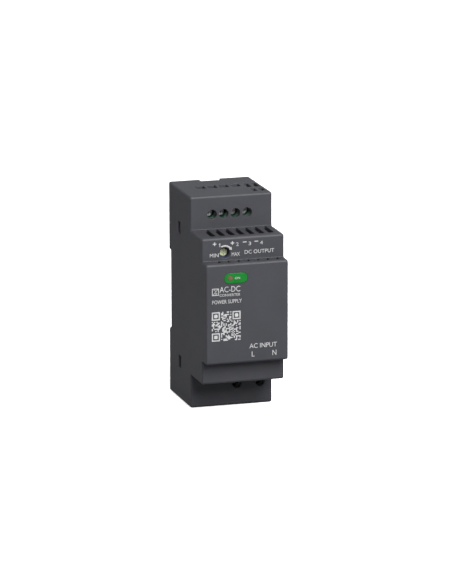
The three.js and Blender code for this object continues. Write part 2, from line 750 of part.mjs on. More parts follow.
const LED_DIAMETER = 3;
const LED_LENGTH = 4.2;
const LED_FRONT = CONTROL_FRONT - 1;
const led = shell(
  rod(LED_DIAMETER, PIPE_X, WINDOW_Z, [LED_FRONT - LED_LENGTH, LED_FRONT]),
  [-1.27, 1.27].flatMap((offset) => {
    const z = around(WINDOW_Z + offset * 0.7, 0.5);
    const bend = [LED_FRONT - LED_LENGTH - 2.4, LED_FRONT - LED_LENGTH - 1.9];
    return [
      block(around(PIPE_X, 0.5), [bend[0], LED_FRONT - LED_LENGTH + 0.5], z),
      block([CONTROL_FACE + SEAT, PIPE_X + 0.25], bend, z),
    ];
  }),
  [],
);
place("status_led", led, ledBody);
const pipeDepth = [LED_FRONT + RUN, FRONT_DEPTH - 0.05];
place("light_pipe", rod(PIPE_DIAMETER, PIPE_X, WINDOW_Z, pipeDepth), clearPlastic);

// ---- Converter parts on the main board ---------------------------------------------------------------

// Places up the board, from the mains end: the middle of each row of parts.
const SUPPRESSION_Z = -27.4;
const STORAGE_Z = -16.9;
const BRIDGE_Z = -6.1;
const BARRIER_Z = -2;
const COUPLER_Z = 4.3;
const TRANSFORMER_Z = 10.6;
const SMOOTHING_Z = 26.2;
const PRIMARY_SINK_Z = -7.7;
const SECONDARY_SINK_Z = 22.4;

// Parts stand clear of the snap tongues on both sides.
const PART_EDGE = BASE_W - TONGUE_THICKNESS - 0.4;
const fromLeft = (length) => [-PART_EDGE, length - PART_EDGE];
const fromRight = (length) => [PART_EDGE - length, PART_EDGE];
const standing = (height) => [ON_BOARD, ON_BOARD + height];
const middleOf = ([low, high]) => (low + high) / 2;

const FUSE = { diameter: 8.4, height: 8, x: -8.7 };
const FILM_CAPACITOR = { length: 13, height: 12, thickness: 6 };
const VARISTOR = { diameter: 7.4, thickness: 3.6, x: 3.6 };
const THERMISTOR = { diameter: 6.4, thickness: 3.2 };
const BULK_CAPACITOR = { diameter: 12.4, height: 31 };
const BRIDGE = { length: 13.4, height: 10, thickness: 3.4, stand: 1.5 };
const BARRIER_CAPACITOR = { diameter: 7.6, thickness: 3, x: 9 };
const COUPLER = { length: 6.4, height: 3.4, width: 4.6 };
const OUTPUT_CAPACITOR = { diameter: 9.8, height: TERMINAL_DEPTH - WALL - 0.95 - ON_BOARD };
const OUTPUT_CHOKE = { diameter: 5.2, height: 9, x: -4.1 };

// A disc part on two leads that end on the board.
function discOnLeads({ diameter, thickness }, x, z) {
  const middle = ON_BOARD + 1.2 + diameter / 2;
  const leads = [-2.5, 2.5].map((offset) =>
    block(around(x + offset, 0.7), [ON_BOARD, middle], around(z, 0.7)),
  );
  return shell(standingDisc(diameter, thickness, x, middle, z), leads, []);
}

const can = ({ diameter, height }, x, z, sides) => rod(diameter, x, z, standing(height), sides);

place("input_fuse", can(FUSE, FUSE.x, -inputs.axis), moulding);
const filmX = fromLeft(FILM_CAPACITOR.length);
const filmZ = around(SUPPRESSION_Z, FILM_CAPACITOR.thickness);
place("x_capacitor", block(filmX, standing(FILM_CAPACITOR.height), filmZ), filmYellow);
place("varistor", discOnLeads(VARISTOR, VARISTOR.x, SUPPRESSION_Z), discBlue);
const thermistorX = middleOf(fromRight(THERMISTOR.diameter));
place("thermistor", discOnLeads(THERMISTOR, thermistorX, SUPPRESSION_Z), discGreen);
const bulkX = middleOf(fromLeft(BULK_CAPACITOR.diameter));
place("bulk_capacitor", can(BULK_CAPACITOR, bulkX, STORAGE_Z, 28), capSleeve);
const bridgeDepth = [ON_BOARD + BRIDGE.stand, ON_BOARD + BRIDGE.stand + BRIDGE.height];
place(
  "bridge_rectifier",
  block(fromRight(BRIDGE.length), bridgeDepth, around(BRIDGE_Z, BRIDGE.thickness)),
  moulding,
);
place("y_capacitor", discOnLeads(BARRIER_CAPACITOR, BARRIER_CAPACITOR.x, BARRIER_Z), discBlue);
const couplerZ = around(COUPLER_Z, COUPLER.width);
place("optocoupler", block(fromLeft(COUPLER.length), standing(COUPLER.height), couplerZ), moulding);
const outputCapacitorX = middleOf(fromRight(OUTPUT_CAPACITOR.diameter));
place("output_capacitor", can(OUTPUT_CAPACITOR, outputCapacitorX, SMOOTHING_Z, 24), capSleeve);
const outputChokeZ = outputs.axis - BLOCK_REACH - 0.5 - OUTPUT_CHOKE.diameter / 2;
place("output_inductor", can(OUTPUT_CHOKE, OUTPUT_CHOKE.x, outputChokeZ), ferrite);

// Mains choke: a ring core lying on the board with one winding on each half.
const CHOKE = { outer: 13.4, inner: 6.6, height: 6, wire: 0.9, stand: 1.2, split: 1.1 };
const chokeX = middleOf(fromRight(CHOKE.outer));
const chokeDepth = [ON_BOARD + CHOKE.stand, ON_BOARD + CHOKE.stand + CHOKE.height];

// The ring core, made larger all round by a growth.
function ringCore(growth) {
  const span = widen(chokeDepth, growth);
  const ring = rod(CHOKE.outer - 2 * CHOKE.wire + 2 * growth, chokeX, STORAGE_Z, span, 24);
  const hole = rod(CHOKE.inner + 2 * CHOKE.wire - 2 * growth, chokeX, STORAGE_Z, widen(span, OUTSIDE), 24);
  return shell(ring, [], [hole]);
}

// Half of the winding: a sleeve around one side of the ring core.
function chokeWinding(side) {
  const span = widen(chokeDepth, CHOKE.wire);
  const sleeve = rod(CHOKE.outer, chokeX, STORAGE_Z, span, 24);
  const otherHalf = block(
    ordered(chokeX + side * CHOKE.split, chokeX - side * CHOKE.outer),
    widen(span, OUTSIDE),
    around(STORAGE_Z, 2 * CHOKE.outer),
  );
  const middle = rod(CHOKE.inner, chokeX, STORAGE_Z, widen(span, OUTSIDE), 24);
  return shell(sleeve, [], [otherHalf, middle, ringCore(2 * SEAT)]);
}

place("choke_core", ringCore(0), ferrite);
place("choke_winding_line", chokeWinding(1), copperWire);
place("choke_winding_neutral", chokeWinding(-1), copperWire);

// A power device in a tab package, screwed flat to a heatsink plate that stands on the board.
const SINK = { width: 13.2, height: 20, thickness: 1.5 };
const PACKAGE = { width: 10, body: 9, tab: 6.4, thickness: 4.4, tabThickness: 1.3, stand: 3, lead: 0.8 };
const SINK_SCREW = { head: 4.6, headHeight: 1.8, past: 1 };

function heatsinkPair(prefix, device, x, z) {
  const face = z + SEAT;
  const tabZ = [face, face + PACKAGE.tabThickness];
  const bodyDepth = [ON_BOARD + PACKAGE.stand, ON_BOARD + PACKAGE.stand + PACKAGE.body];
  const screwDepth = bodyDepth[1] + PACKAGE.tab / 2;
  const disc = (diameter, [low, high], sides) =>
    standingDisc(diameter, high - low, x, screwDepth, (low + high) / 2, sides);
  const clearance = disc(SCREW_SHANK + 2 * RUN, around(z, 8 * SINK.thickness), 14);
  const plate = block(around(x, SINK.width), standing(SINK.height), [z - SINK.thickness, z]);
  const leads = [-1, 0, 1].map((place) =>
    block(
      around(x + place * 2.54, PACKAGE.lead),
      [ON_BOARD, bodyDepth[0] + 0.1],
      around(face + PACKAGE.thickness / 2, PACKAGE.lead),
    ),
  );
  const tab = block(around(x, PACKAGE.width), [bodyDepth[1] - 0.1, bodyDepth[1] + PACKAGE.tab], tabZ);
  const body = block(around(x, PACKAGE.width), bodyDepth, [face, face + PACKAGE.thickness]);
  const headZ = [tabZ[1] + SEAT, tabZ[1] + SEAT + SINK_SCREW.headHeight];
  const shank = disc(SCREW_SHANK, [z - SINK.thickness - SINK_SCREW.past, headZ[0] + 0.1], 12);
  place(`${prefix}_heatsink`, shell(plate, [], [clearance]), aluminium);
  place(device, shell(body, [tab, ...leads], [clearance]), moulding);
  place(`${prefix}_heatsink_screw`, shell(disc(SINK_SCREW.head, headZ, 16), [shank], []), zincSteel);
}

heatsinkPair("primary", "switching_transistor", -7.5, PRIMARY_SINK_Z);
heatsinkPair("secondary", "output_rectifier", -3.6, SECONDARY_SINK_Z);

// ---- Transformer -------------------------------------------------------------------------------------

const CORE = { x: 3, half: 10.4, leg: 3, yoke: 3, thickness: 6, height: 18, stand: 1.6 };
const BOBBIN = { wall: 0.8, length: 17.6, railWidth: 4.2 };
const coreSpan = [ON_BOARD + CORE.stand, ON_BOARD + CORE.stand + CORE.height];
const coreZ = around(TRANSFORMER_Z, CORE.thickness);
const windowDepth = widen(coreSpan, -CORE.yoke);
const coreWindows = [-1, 1].map((side) =>
  block(
    ordered(CORE.x + side * CORE.leg, CORE.x + side * (CORE.half - CORE.leg)),
    windowDepth,
    widen(coreZ, OUTSIDE),
  ),
);
const core = shell(block(around(CORE.x, 2 * CORE.half), coreSpan, coreZ), [], coreWindows);
place("transformer_core", core, ferrite);

// The bobbin: a square tube round the middle leg, two flanges and two pin rails that stand on the board.
const spoolSpan = widen(windowDepth, -RUN);
const flangeX = around(CORE.x, 2 * (CORE.half - CORE.leg - RUN));
const flangeZ = around(TRANSFORMER_Z, BOBBIN.length);
const legX = around(CORE.x, 2 * (CORE.leg + RUN));
const legZ = widen(coreZ, RUN);
const tubeX = widen(legX, BOBBIN.wall);
const tubeZ = widen(legZ, BOBBIN.wall);
const pinRails = [-1, 1].map((end) => {
  const outer = TRANSFORMER_Z + (end * BOBBIN.length) / 2;
  const railZ = ordered(outer, outer - end * BOBBIN.railWidth);
  return block(flangeX, [ON_BOARD, spoolSpan[0] + BOBBIN.wall], railZ);
});
const flanges = [
  [spoolSpan[0], spoolSpan[0] + BOBBIN.wall],
  [spoolSpan[1] - BOBBIN.wall, spoolSpan[1]],
].map((span) => block(flangeX, span, flangeZ));
const bobbin = shell(
  block(tubeX, spoolSpan, tubeZ),
  [...flanges, ...pinRails],
  [block(legX, widen(spoolSpan, OUTSIDE), legZ)],
);
place("transformer_bobbin", bobbin, bobbinBrown);

const winding = shell(
  block(widen(flangeX, -0.4), widen(spoolSpan, -BOBBIN.wall - SEAT), widen(flangeZ, -0.9)),
  [],
  [block(widen(tubeX, SEAT), widen(spoolSpan, OUTSIDE), widen(tubeZ, SEAT))],
);
place("transformer_winding", winding, windingTape);

// ---- Chips and board header --------------------------------------------------------------------------

// The controller is on the solder side of the main board; the rest is on the control board.
const CHIP = { length: 4.9, width: 3.9, height: 1.6 };
const HEADER = { thickness: 2.5, length: 9.5 };
const chipUnderBoard = [BOARD_BACK - SEAT - CHIP.height, BOARD_BACK - SEAT];
place("control_chip", block(around(0, CHIP.length), chipUnderBoard, around(-1, CHIP.width)), moulding);
const onControlBoard = (height) => [CONTROL_FACE + SEAT, CONTROL_FACE + SEAT + height];
const referenceZ = around(controlZ[1] - 7.6, CHIP.width);
const referenceDepth = around(TRIMMER_FRONT - TRIMMER_BODY - 6.6, 3);
place("reference_chip", block(onControlBoard(CHIP.height / 2), referenceDepth, referenceZ), moulding);
const headerX = onControlBoard(HEADER.thickness);
const headerZ = [controlZ[0] + 0.6, controlZ[0] + 0.6 + HEADER.length];
place("board_header", block(headerX, standing(HEADER.thickness), headerZ), moulding);

export default supply;
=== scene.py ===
"""A two-module DIN-rail power supply in a stepped grey case, standing on a pale studio floor.

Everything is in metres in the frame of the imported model: +Z up the case, -Y its front, +Y towards the
wall, and the origin in the middle of the rail seat. Shapes are worked out with numpy and placed from the
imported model's boxes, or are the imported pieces' own shapes with eased edges. A distance "forwards" is
measured from the rail seat towards -Y.
"""
import math

import bmesh
import bpy
import numpy as np
from mathutils import Matrix, Vector


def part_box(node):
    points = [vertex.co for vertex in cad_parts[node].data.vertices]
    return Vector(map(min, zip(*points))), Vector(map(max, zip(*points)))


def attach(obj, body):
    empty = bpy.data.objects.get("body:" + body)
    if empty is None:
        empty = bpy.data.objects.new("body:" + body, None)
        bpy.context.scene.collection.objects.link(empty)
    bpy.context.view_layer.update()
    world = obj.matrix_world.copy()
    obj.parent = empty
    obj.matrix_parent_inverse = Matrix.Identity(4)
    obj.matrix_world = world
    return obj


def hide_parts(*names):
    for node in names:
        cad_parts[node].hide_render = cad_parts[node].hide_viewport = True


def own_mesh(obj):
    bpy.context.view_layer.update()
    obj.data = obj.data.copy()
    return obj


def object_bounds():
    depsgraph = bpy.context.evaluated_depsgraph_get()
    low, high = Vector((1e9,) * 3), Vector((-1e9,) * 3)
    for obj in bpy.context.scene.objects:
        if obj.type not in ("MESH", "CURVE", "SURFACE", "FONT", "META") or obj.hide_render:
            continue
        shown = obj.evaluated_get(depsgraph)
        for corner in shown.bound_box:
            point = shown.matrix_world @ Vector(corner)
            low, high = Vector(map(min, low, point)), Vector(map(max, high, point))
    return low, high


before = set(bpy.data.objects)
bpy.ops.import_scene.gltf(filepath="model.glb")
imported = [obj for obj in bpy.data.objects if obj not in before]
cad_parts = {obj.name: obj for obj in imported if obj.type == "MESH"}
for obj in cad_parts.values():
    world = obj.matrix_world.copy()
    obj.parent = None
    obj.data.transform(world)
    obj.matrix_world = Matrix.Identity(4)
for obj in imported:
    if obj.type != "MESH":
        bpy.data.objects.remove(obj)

cad_low, cad_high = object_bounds()
scene = bpy.context.scene
mm = 0.001


# ---- Studio ------------------------------------------------------------------------------------------
# The supply stands on its lower end on a plain white floor. A long lens looks at it from the front left
# and a little above. A soft light hangs in front of it and above, a wide weak one hangs over it, two small
# ones stand low behind it on both sides, and a pale room fills the shadows.

LENS_MM = 275.0
SENSOR_MM = 36
CAMERA_AZIMUTH = math.radians(-16.663)
CAMERA_ELEVATION = math.radians(13.414)
CAMERA_ROLL = math.radians(-0.128)
CAMERA_DISTANCE = 1.8776
CAMERA_AIM = Vector((0.16 * mm, -25.2 * mm, 0))
CAMERA_SIDESTEP = -1.1 * mm
CAMERA_RISE = 2.507 * mm
SOFTBOXES = [  # name, direction from the case, distance and side in metres, power in watts
    ("key_light", (0.12, -1.0, 0.88), 0.8, 0.6, 17.5),
    ("top_light", (0.1, 0.15, 1.0), 1.6, 1.2, 3),
    ("right_light", (1.0, 0.5, -0.01), 1.1, 0.05, 7),
    ("left_light", (-1.0, 0.75, 0.02), 1.1, 0.05, 1.2),
]
FLOOR_HALF, FLOOR_DROP = 12.0, 0.02 * mm
FLOOR_SEEN, FLOOR_THROWN = (0.95, 0.95, 0.95, 1), (0.23, 0.23, 0.24, 1)
FLOOR_GLOW = 0.45
ROOM_COLOUR, ROOM_STRENGTH = (0.95, 0.97, 1, 1), 0.52


def place_camera():
    """The camera looks along the line that leaves the aim point at the azimuth and elevation, and is then
    moved a little sideways and up in its own picture plane."""
    a, e = CAMERA_AZIMUTH, CAMERA_ELEVATION
    back = Vector((math.sin(a) * math.cos(e), -math.cos(a) * math.cos(e), math.sin(e)))
    right = Vector((math.cos(a), math.sin(a), 0))
    up = back.cross(right)
    data = bpy.data.cameras.new("studio_camera")
    data.lens = LENS_MM
    data.sensor_width = SENSOR_MM
    data.clip_start, data.clip_end = 0.1, 100
    camera = bpy.data.objects.new("studio_camera", data)
    scene.collection.objects.link(camera)
    where = CAMERA_AIM + back * CAMERA_DISTANCE + right * CAMERA_SIDESTEP + up * CAMERA_RISE
    turned_to = Matrix((right, up, back)).transposed() @ Matrix.Rotation(CAMERA_ROLL, 3, "Z")
    camera.matrix_world = Matrix.Translation(where) @ turned_to.to_4x4()
    scene.camera = camera


def softbox(name, direction, distance, size, power):
    """A square area light that faces the aim point from a distance along a direction."""
    data = bpy.data.lights.new(name, "AREA")
    data.shape = "SQUARE"
    data.size = size
    data.energy = power
    light = bpy.data.objects.new(name, data)
    scene.collection.objects.link(light)
    towards = Vector(direction).normalized()
    light.location = CAMERA_AIM + towards * distance
    light.rotation_euler = towards.to_track_quat("Z", "Y").to_euler()


def studio_floor():
    """A wide sheet just under the case. It is white and faintly lit through to look at, and a dull grey for
    the light that it throws back up, as if dark cloths lay on it round the case."""
    half, low = FLOOR_HALF, cad_low.z - FLOOR_DROP
    corners = [(-half, -half, low), (half, -half, low), (half, half, low), (-half, half, low)]
    mesh = bpy.data.meshes.new("studio_floor")
    mesh.from_pydata(corners, [], [(0, 1, 2, 3)])
    floor = bpy.data.objects.new("studio_floor", mesh)
    scene.collection.objects.link(floor)
    material = bpy.data.materials.new("floor_white")
    material.use_nodes = True
    nodes, links = material.node_tree.nodes, material.node_tree.links
    shader = nodes["Principled BSDF"]
    shader.inputs["Roughness"].default_value = 0.9
    shader.inputs["Specular IOR Level"].default_value = 0.0
    seen = nodes.new("ShaderNodeMix")
    seen.data_type = "RGBA"
    seen.inputs["A"].default_value = FLOOR_THROWN
    seen.inputs["B"].default_value = FLOOR_SEEN
    glow = nodes.new("ShaderNodeMath")
    glow.operation = "MULTIPLY"
    glow.inputs[1].default_value = FLOOR_GLOW
    eye = nodes.new("ShaderNodeLightPath").outputs["Is Camera Ray"]
    links.new(eye, seen.inputs["Factor"])
    links.new(eye, glow.inputs[0])
    links.new(seen.outputs["Result"], shader.inputs["Base Color"])
    shader.inputs["Emission Color"].default_value = (1, 1, 1, 1)
    links.new(glow.outputs["Value"], shader.inputs["Emission Strength"])
    mesh.materials.append(material)


place_camera()
for light in SOFTBOXES:
    softbox(*light)
studio_floor()
room = bpy.data.worlds.new("studio_room")
room.use_nodes = True
room.node_tree.nodes["Background"].inputs["Color"].default_value = ROOM_COLOUR
room.node_tree.nodes["Background"].inputs["Strength"].default_value = ROOM_STRENGTH
scene.world = room
scene.view_settings.view_transform = "Standard"


# ---- Front housing -----------------------------------------------------------------------------------
# The case's shell: one dark grey moulding with three stepped levels, open at the back. It is moulded with
# rounded outer edges, fine spark-eroded grain, vents, screw holes, wire funnels and the two rail notches.

case_low, case_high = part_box("front_housing")
HALF_WIDTH = case_high.x
HALF_HEIGHT = case_high.z
BACK = case_high.y
INK = 0.03 * mm  # how far print stands off the plastic
TERMINAL_FACE = 29.8 * mm
BAND_FACE = 46.7 * mm
NOSE_FACE = -case_low.y - INK
BAND_HALF = 31.2 * mm
NOSE_HALF = 21.4 * mm
CASE_WALL = 1.6 * mm
EDGE_RADIUS = 0.9 * mm
FACE_RADIUS = 1.1 * mm
STEP_FILLET = 0.25 * mm
TIGHTEST_BEND = 0.02 * mm
PAST = 1 * mm  # how far a cutting solid runs past the face that it cuts


def rounded_outline(corners, inset=0.0, steps=8):
    """A closed anticlockwise outline from corners (u, v, radius). Each edge is moved inwards by the inset,
    and each corner becomes an arc between the points where a circle of its radius touches both edges. A
    corner that sticks out loses the inset from its radius, and one that turns in gains it."""
    table = np.array(corners, float)
    points, radius = table[:, :2], table[:, 2]
    before = points - np.roll(points, 1, 0)
    before /= np.linalg.norm(before, axis=1, keepdims=True)
    after = np.roll(before, -1, 0)
    left_before = np.stack([-before[:, 1], before[:, 0]], 1)
    left_after = np.roll(left_before, -1, 0)
    turn = np.arctan2(before[:, 0] * after[:, 1] - before[:, 1] * after[:, 0], (before * after).sum(1))
    side = np.sign(turn)
    mitre = (left_before + left_after) / (1 + (left_before * left_after).sum(1, keepdims=True))
    bend = np.maximum(radius - side * inset, TIGHTEST_BEND)
    start = points + inset * mitre - before * (bend * np.tan(np.abs(turn) / 2))[:, None]
    centre = start + left_before * (side * bend)[:, None]
    first = np.arctan2(-side * left_before[:, 1], -side * left_before[:, 0])
    angle = first[:, None] + turn[:, None] * np.linspace(0, 1, steps)
    arc = centre[:, None] + bend[:, None, None] * np.stack([np.cos(angle), np.sin(angle)], 2)
    return arc.reshape(-1, 2)


def disc_outline(u, v, radius, steps=48):
    """A circle as a closed anticlockwise outline: its radius times the cosine and sine of one turn."""
    angle = np.linspace(0, 2 * np.pi, steps, endpoint=False)
    return np.stack([u + radius * np.cos(angle), v + radius * np.sin(angle)], 1)


def box_corners(u, v, width, height, radius=0.0):
    """The four corners of a rectangle about its middle, anticlockwise."""
    w, h = width / 2, height / 2
    return [(u - w, v - h, radius), (u + w, v - h, radius), (u + w, v + h, radius), (u - w, v + h, radius)]


def carried(outlines, stations, way):
    """Outlines carried along a way, one for each station: across the case (u is y and v is z), forwards
    (u is x, v is z and the station is the distance in front of the rail seat) or upwards (u is x, v is y)."""
    outlines = np.asarray(outlines, float)
    s = np.broadcast_to(np.asarray(stations, float)[:, None], outlines.shape[:2])
    u, v = outlines[..., 0], outlines[..., 1]
    return np.stack({"across": (s, u, v), "forwards": (u, -s, v), "upwards": (u, v, s)}[way], 2)


def slab(outline, start, end, way="forwards"):
    """One outline carried straight from a start to an end."""
    return carried([outline, outline], [start, end], way)


def closed_piece(name, *ring_sets, looped=False):
    """A mesh of closed solids. Each set of rings is a grid: quads join every ring to the next one, and one
    flat face closes each end, or the last ring joins the first one where the piece is a loop."""
    points, faces, offset = [], [], 0
    for rings in ring_sets:
        count, around = rings.shape[:2]
        index = offset + np.arange(count * around).reshape(count, around)
        index = np.concatenate([index, index[:1]]) if looped else index
        ahead = np.roll(index, -1, 1)
        quads = np.stack([index[:-1], ahead[:-1], ahead[1:], index[1:]], 2).reshape(-1, 4)
        faces += quads.tolist() + ([] if looped else [index[0][::-1].tolist(), index[-1].tolist()])
        points.append(rings.reshape(-1, 3))
        offset += count * around
    mesh = bpy.data.meshes.new(name)
    mesh.from_pydata(np.concatenate(points).tolist(), [], faces)
    piece = bpy.data.objects.new(name, mesh)
    scene.collection.objects.link(piece)
    return piece


def cut_away(piece, *ring_sets):
    """Takes closed solids, none of which touch each other, out of a piece."""
    tool = closed_piece("cutting_tool", *ring_sets)
    cut = piece.modifiers.new("cut", "BOOLEAN")
    cut.operation, cut.solver, cut.object = "DIFFERENCE", "EXACT", tool
    cut_mesh = bpy.data.meshes.new_from_object(piece.evaluated_get(bpy.context.evaluated_depsgraph_get()))
    piece.modifiers.clear()
    piece.data = cut_mesh
    bpy.data.objects.remove(tool)


COAT_ROUGHNESS = 0.12
SMOOTH_BELOW = math.radians(30)


def grained(name, dark, light, rough, grain, height, metal=0.0, patch=14 * mm, stretch=(1, 1, 1), coat=0.0,
            shine=0.5):
    """A surface whose colour drifts between two shades over patches of a given size, with a fine bump of a
    given grain size and height, and a roughness that wanders between two values with the grain. The grain
    is drawn out along the axes where the stretch is above 1. A coat adds a clear gloss, and the shine is
    how strongly the bare surface reflects."""
    material = bpy.data.materials.new(name)
    material.use_nodes = True
    nodes, links = material.node_tree.nodes, material.node_tree.links
    shader = nodes["Principled BSDF"]
    shader.inputs["Metallic"].default_value = metal
    shader.inputs["Coat Weight"].default_value = coat
    shader.inputs["Coat Roughness"].default_value = COAT_ROUGHNESS
    shader.inputs["Specular IOR Level"].default_value = shine
    place = nodes.new("ShaderNodeTexCoord").outputs["Object"]
    drawn = nodes.new("ShaderNodeMapping")
    drawn.inputs["Scale"].default_value = [1 / s for s in stretch]
    links.new(place, drawn.inputs["Vector"])
    clouds, fine = nodes.new("ShaderNodeTexNoise"), nodes.new("ShaderNodeTexNoise")
    for noise, size, detail, where in ((clouds, patch, 3, place), (fine, grain, 5, drawn.outputs["Vector"])):
        noise.inputs["Scale"].default_value = 1 / size
        noise.inputs["Detail"].default_value = detail
        links.new(where, noise.inputs["Vector"])
    shades = nodes.new("ShaderNodeValToRGB")
    shades.color_ramp.elements[0].position, shades.color_ramp.elements[1].position = 0.3, 0.7
    shades.color_ramp.elements[0].color = (*dark, 1)
    shades.color_ramp.elements[1].color = (*light, 1)
    gloss = nodes.new("ShaderNodeMapRange")
    gloss.inputs["To Min"].default_value, gloss.inputs["To Max"].default_value = rough
    bump = nodes.new("ShaderNodeBump")
    bump.inputs["Distance"].default_value = height
    links.new(clouds.outputs["Fac"], shades.inputs["Fac"])
    links.new(shades.outputs["Color"], shader.inputs["Base Color"])
    links.new(fine.outputs["Fac"], gloss.inputs["Value"])
    links.new(gloss.outputs["Result"], shader.inputs["Roughness"])
    links.new(fine.outputs["Fac"], bump.inputs["Height"])
    links.new(bump.outputs["Normal"], shader.inputs["Normal"])
    return material


def fitted(piece, material, body, slot, *stands_for):
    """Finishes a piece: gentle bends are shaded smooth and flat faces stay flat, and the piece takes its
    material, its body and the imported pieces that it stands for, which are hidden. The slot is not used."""
    if not piece.data.materials:
        piece.data.materials.append(material)
    piece.data.materials[0] = material
    bpy.ops.object.select_all(action="DESELECT")
    piece.select_set(True)
    bpy.context.view_layer.objects.active = piece
    bpy.ops.object.shade_smooth_by_angle(angle=SMOOTH_BELOW)
    level = piece.modifiers.new("flat_faces", "WEIGHTED_NORMAL")
    level.keep_sharp = True
    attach(piece, body)
    if stands_for:
        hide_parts(*stands_for)
    return piece


def middle(node):
    """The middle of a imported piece's box."""
    low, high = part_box(node)
    return (low + high) / 2


def round_place(node):
    """Where a packed round piece that points forwards stands: its middle, radius, back and front."""
    low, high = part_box(node)
    return (low + high) / 2, (high.x - low.x) / 2, -high.y, -low.y


def case_corners(back):
    """The case seen from the side: its stepped outline, with the back edges at a given y."""
    top = [
        (-TERMINAL_FACE, HALF_HEIGHT, FACE_RADIUS),
        (-TERMINAL_FACE, BAND_HALF, STEP_FILLET),
        (-BAND_FACE, BAND_HALF, FACE_RADIUS),
        (-BAND_FACE, NOSE_HALF, STEP_FILLET),
        (-NOSE_FACE, NOSE_HALF, FACE_RADIUS),
    ]
    bottom = [(y, -z, radius) for y, z, radius in reversed(top)]
    return [(back, HALF_HEIGHT, 0)] + top + bottom + [(back, -HALF_HEIGHT, 0)]


def housing_solid():
    """The stepped outline carried across the case. Near each side it shrinks along a quarter circle, which
    rounds the side edges. The hollow inside is the same outline, one wall smaller."""
    sweep = np.linspace(0, np.pi / 2, 9)
    edge_x, edge_inset = EDGE_RADIUS * (1 - np.cos(sweep)), EDGE_RADIUS * (1 - np.sin(sweep))
    stations = np.concatenate([edge_x - HALF_WIDTH, HALF_WIDTH - edge_x[::-1]])
    insets = np.concatenate([edge_inset, edge_inset[::-1]])
    rings = [rounded_outline(case_corners(BACK), inset, 9) for inset in insets]
    piece = closed_piece("housing_shell", carried(rings, stations, "across"))
    inner = HALF_WIDTH - CASE_WALL
    hollow = rounded_outline(case_corners(BACK + CASE_WALL + PAST), CASE_WALL, 3)
    cut_away(piece, slab(hollow, -inner, inner, "across"))
    return piece


def round_hole(x, z, radius, face, depth, lip):
    """A round hole through a front face, with its mouth opened out by a small lip."""
    rings = [disc_outline(x, z, r) for r in (radius, radius, radius + lip, radius + lip)]
    return carried(rings, [face - depth, face - lip, face, face + PAST], "forwards")


def end_hole(corners, sign, end, depth, lip):
    """A hole through a face that looks up (sign 1) or down (sign -1), with its mouth opened out."""
    heights = np.array([end - depth, end - lip, end, end + PAST]) * sign
    rings = np.array([rounded_outline(corners, -grow) for grow in (0, 0, lip, lip)])
    order = slice(None) if sign > 0 else slice(None, None, -1)
    return carried(rings[order], heights[order], "upwards")


def side_hole(corners, side):
    """A plain hole through one side wall."""
    ends = sorted((side * (HALF_WIDTH - CASE_WALL - PAST), side * (HALF_WIDTH + PAST)))
    return slab(rounded_outline(corners), *ends, "across")


def rail_slot(low_y, high_y, low_z, high_z, flare):
    """A slot right across the case, opened out a little at both sides."""
    corners = box_corners((low_y + high_y) / 2, (low_z + high_z) / 2, high_y - low_y, high_z - low_z)
    reach = HALF_WIDTH + PAST
    stations = [-reach, -HALF_WIDTH, flare - HALF_WIDTH, HALF_WIDTH - flare, HALF_WIDTH, reach]
    growth = [flare, flare, 0, 0, flare, flare]
    return carried([rounded_outline(corners, -grow, 4) for grow in growth], stations, "across")


OUTPUTS = [f"output_screw_{pole}" for pole in (1, 2, 3, 4)]
INPUTS = [f"input_screw_{pole}" for pole in ("line", "neutral")]
SCREW_HOLE, HOLE_LIP, HOLE_DEPTH = 1.95 * mm, 0.18 * mm, 2.5 * mm
WIRE_WIDTH, WIRE_LENGTH, WIRE_Y = 3.8 * mm, 5.2 * mm, -12.3 * mm
WIRE_CORNER, FUNNEL = 0.35 * mm, 0.2 * mm
VENT_XS = (0.95 + 4.22 * (np.arange(7) - 3)) * mm  # seven in a row, 4.22 mm apart
VENT_WIDTH, VENT_CORNER, VENT_DEPTH, VENT_LIP = 2.2 * mm, 0.4 * mm, 2.4 * mm, 0.08 * mm
BAND_VENT = (TERMINAL_FACE + 0.4 * mm, TERMINAL_FACE + 13.2 * mm)
NOSE_VENT = (BAND_FACE + 0.2 * mm, BAND_FACE + 3.6 * mm)
END_VENT_XS, END_VENT_WIDTH = (11.9 * mm, 15.3 * mm), 1.9 * mm
END_VENT_YS = ((-17.4 * mm, -10 * mm), (-25.8 * mm, -20.6 * mm))
END_VENT_CORNER, END_VENT_LIP = 0.35 * mm, 0.1 * mm
SNAP_Z, SNAP_HEIGHT, SNAP_Y, SNAP_LENGTH = 29.05 * mm, 5.3 * mm, -13.5 * mm, 3.4 * mm
SNAP_CORNER = 0.2 * mm
RAIL_LOW, RAIL_HIGH, RAIL_FLARE = -17.8 * mm, 16.3 * mm, 0.5 * mm
UPPER_LIP_SLOT = (-0.2 * mm, 1.3 * mm, 16.1 * mm, 17.8 * mm)  # low and high y, low and high z
LOWER_LIP_SLOT = (-0.2 * mm, 1.8 * mm, -17.8 * mm, -15.7 * mm)
LIP_FLARE = 0.1 * mm
GATE_WIDTH, GATE_DEPTH, GROOVE_WIDTH, GROOVE_DEPTH = 16.6 * mm, 7 * mm, 9 * mm, 6 * mm
GATE_CORNER = 0.3 * mm
TRIMMER, TRIMMER_HOLE, TRIMMER_LIP = middle("trimmer_rotor"), 2.2 * mm, 0.25 * mm
WINDOW_LOW, WINDOW_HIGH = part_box("status_window")
WINDOW_AT, WINDOW_BACK = (WINDOW_LOW + WINDOW_HIGH) / 2, -WINDOW_HIGH.y
WINDOW_LENGTH, WINDOW_HEIGHT = WINDOW_HIGH.x - WINDOW_LOW.x, WINDOW_HIGH.z - WINDOW_LOW.z
POCKET_GAP, POCKET_CORNER, POCKET_DEPTH = 0.1 * mm, 2.2 * mm, 0.85 * mm
PIPE_AT, PIPE_RADIUS, PIPE_BACK, PIPE_FRONT = round_place("light_pipe")
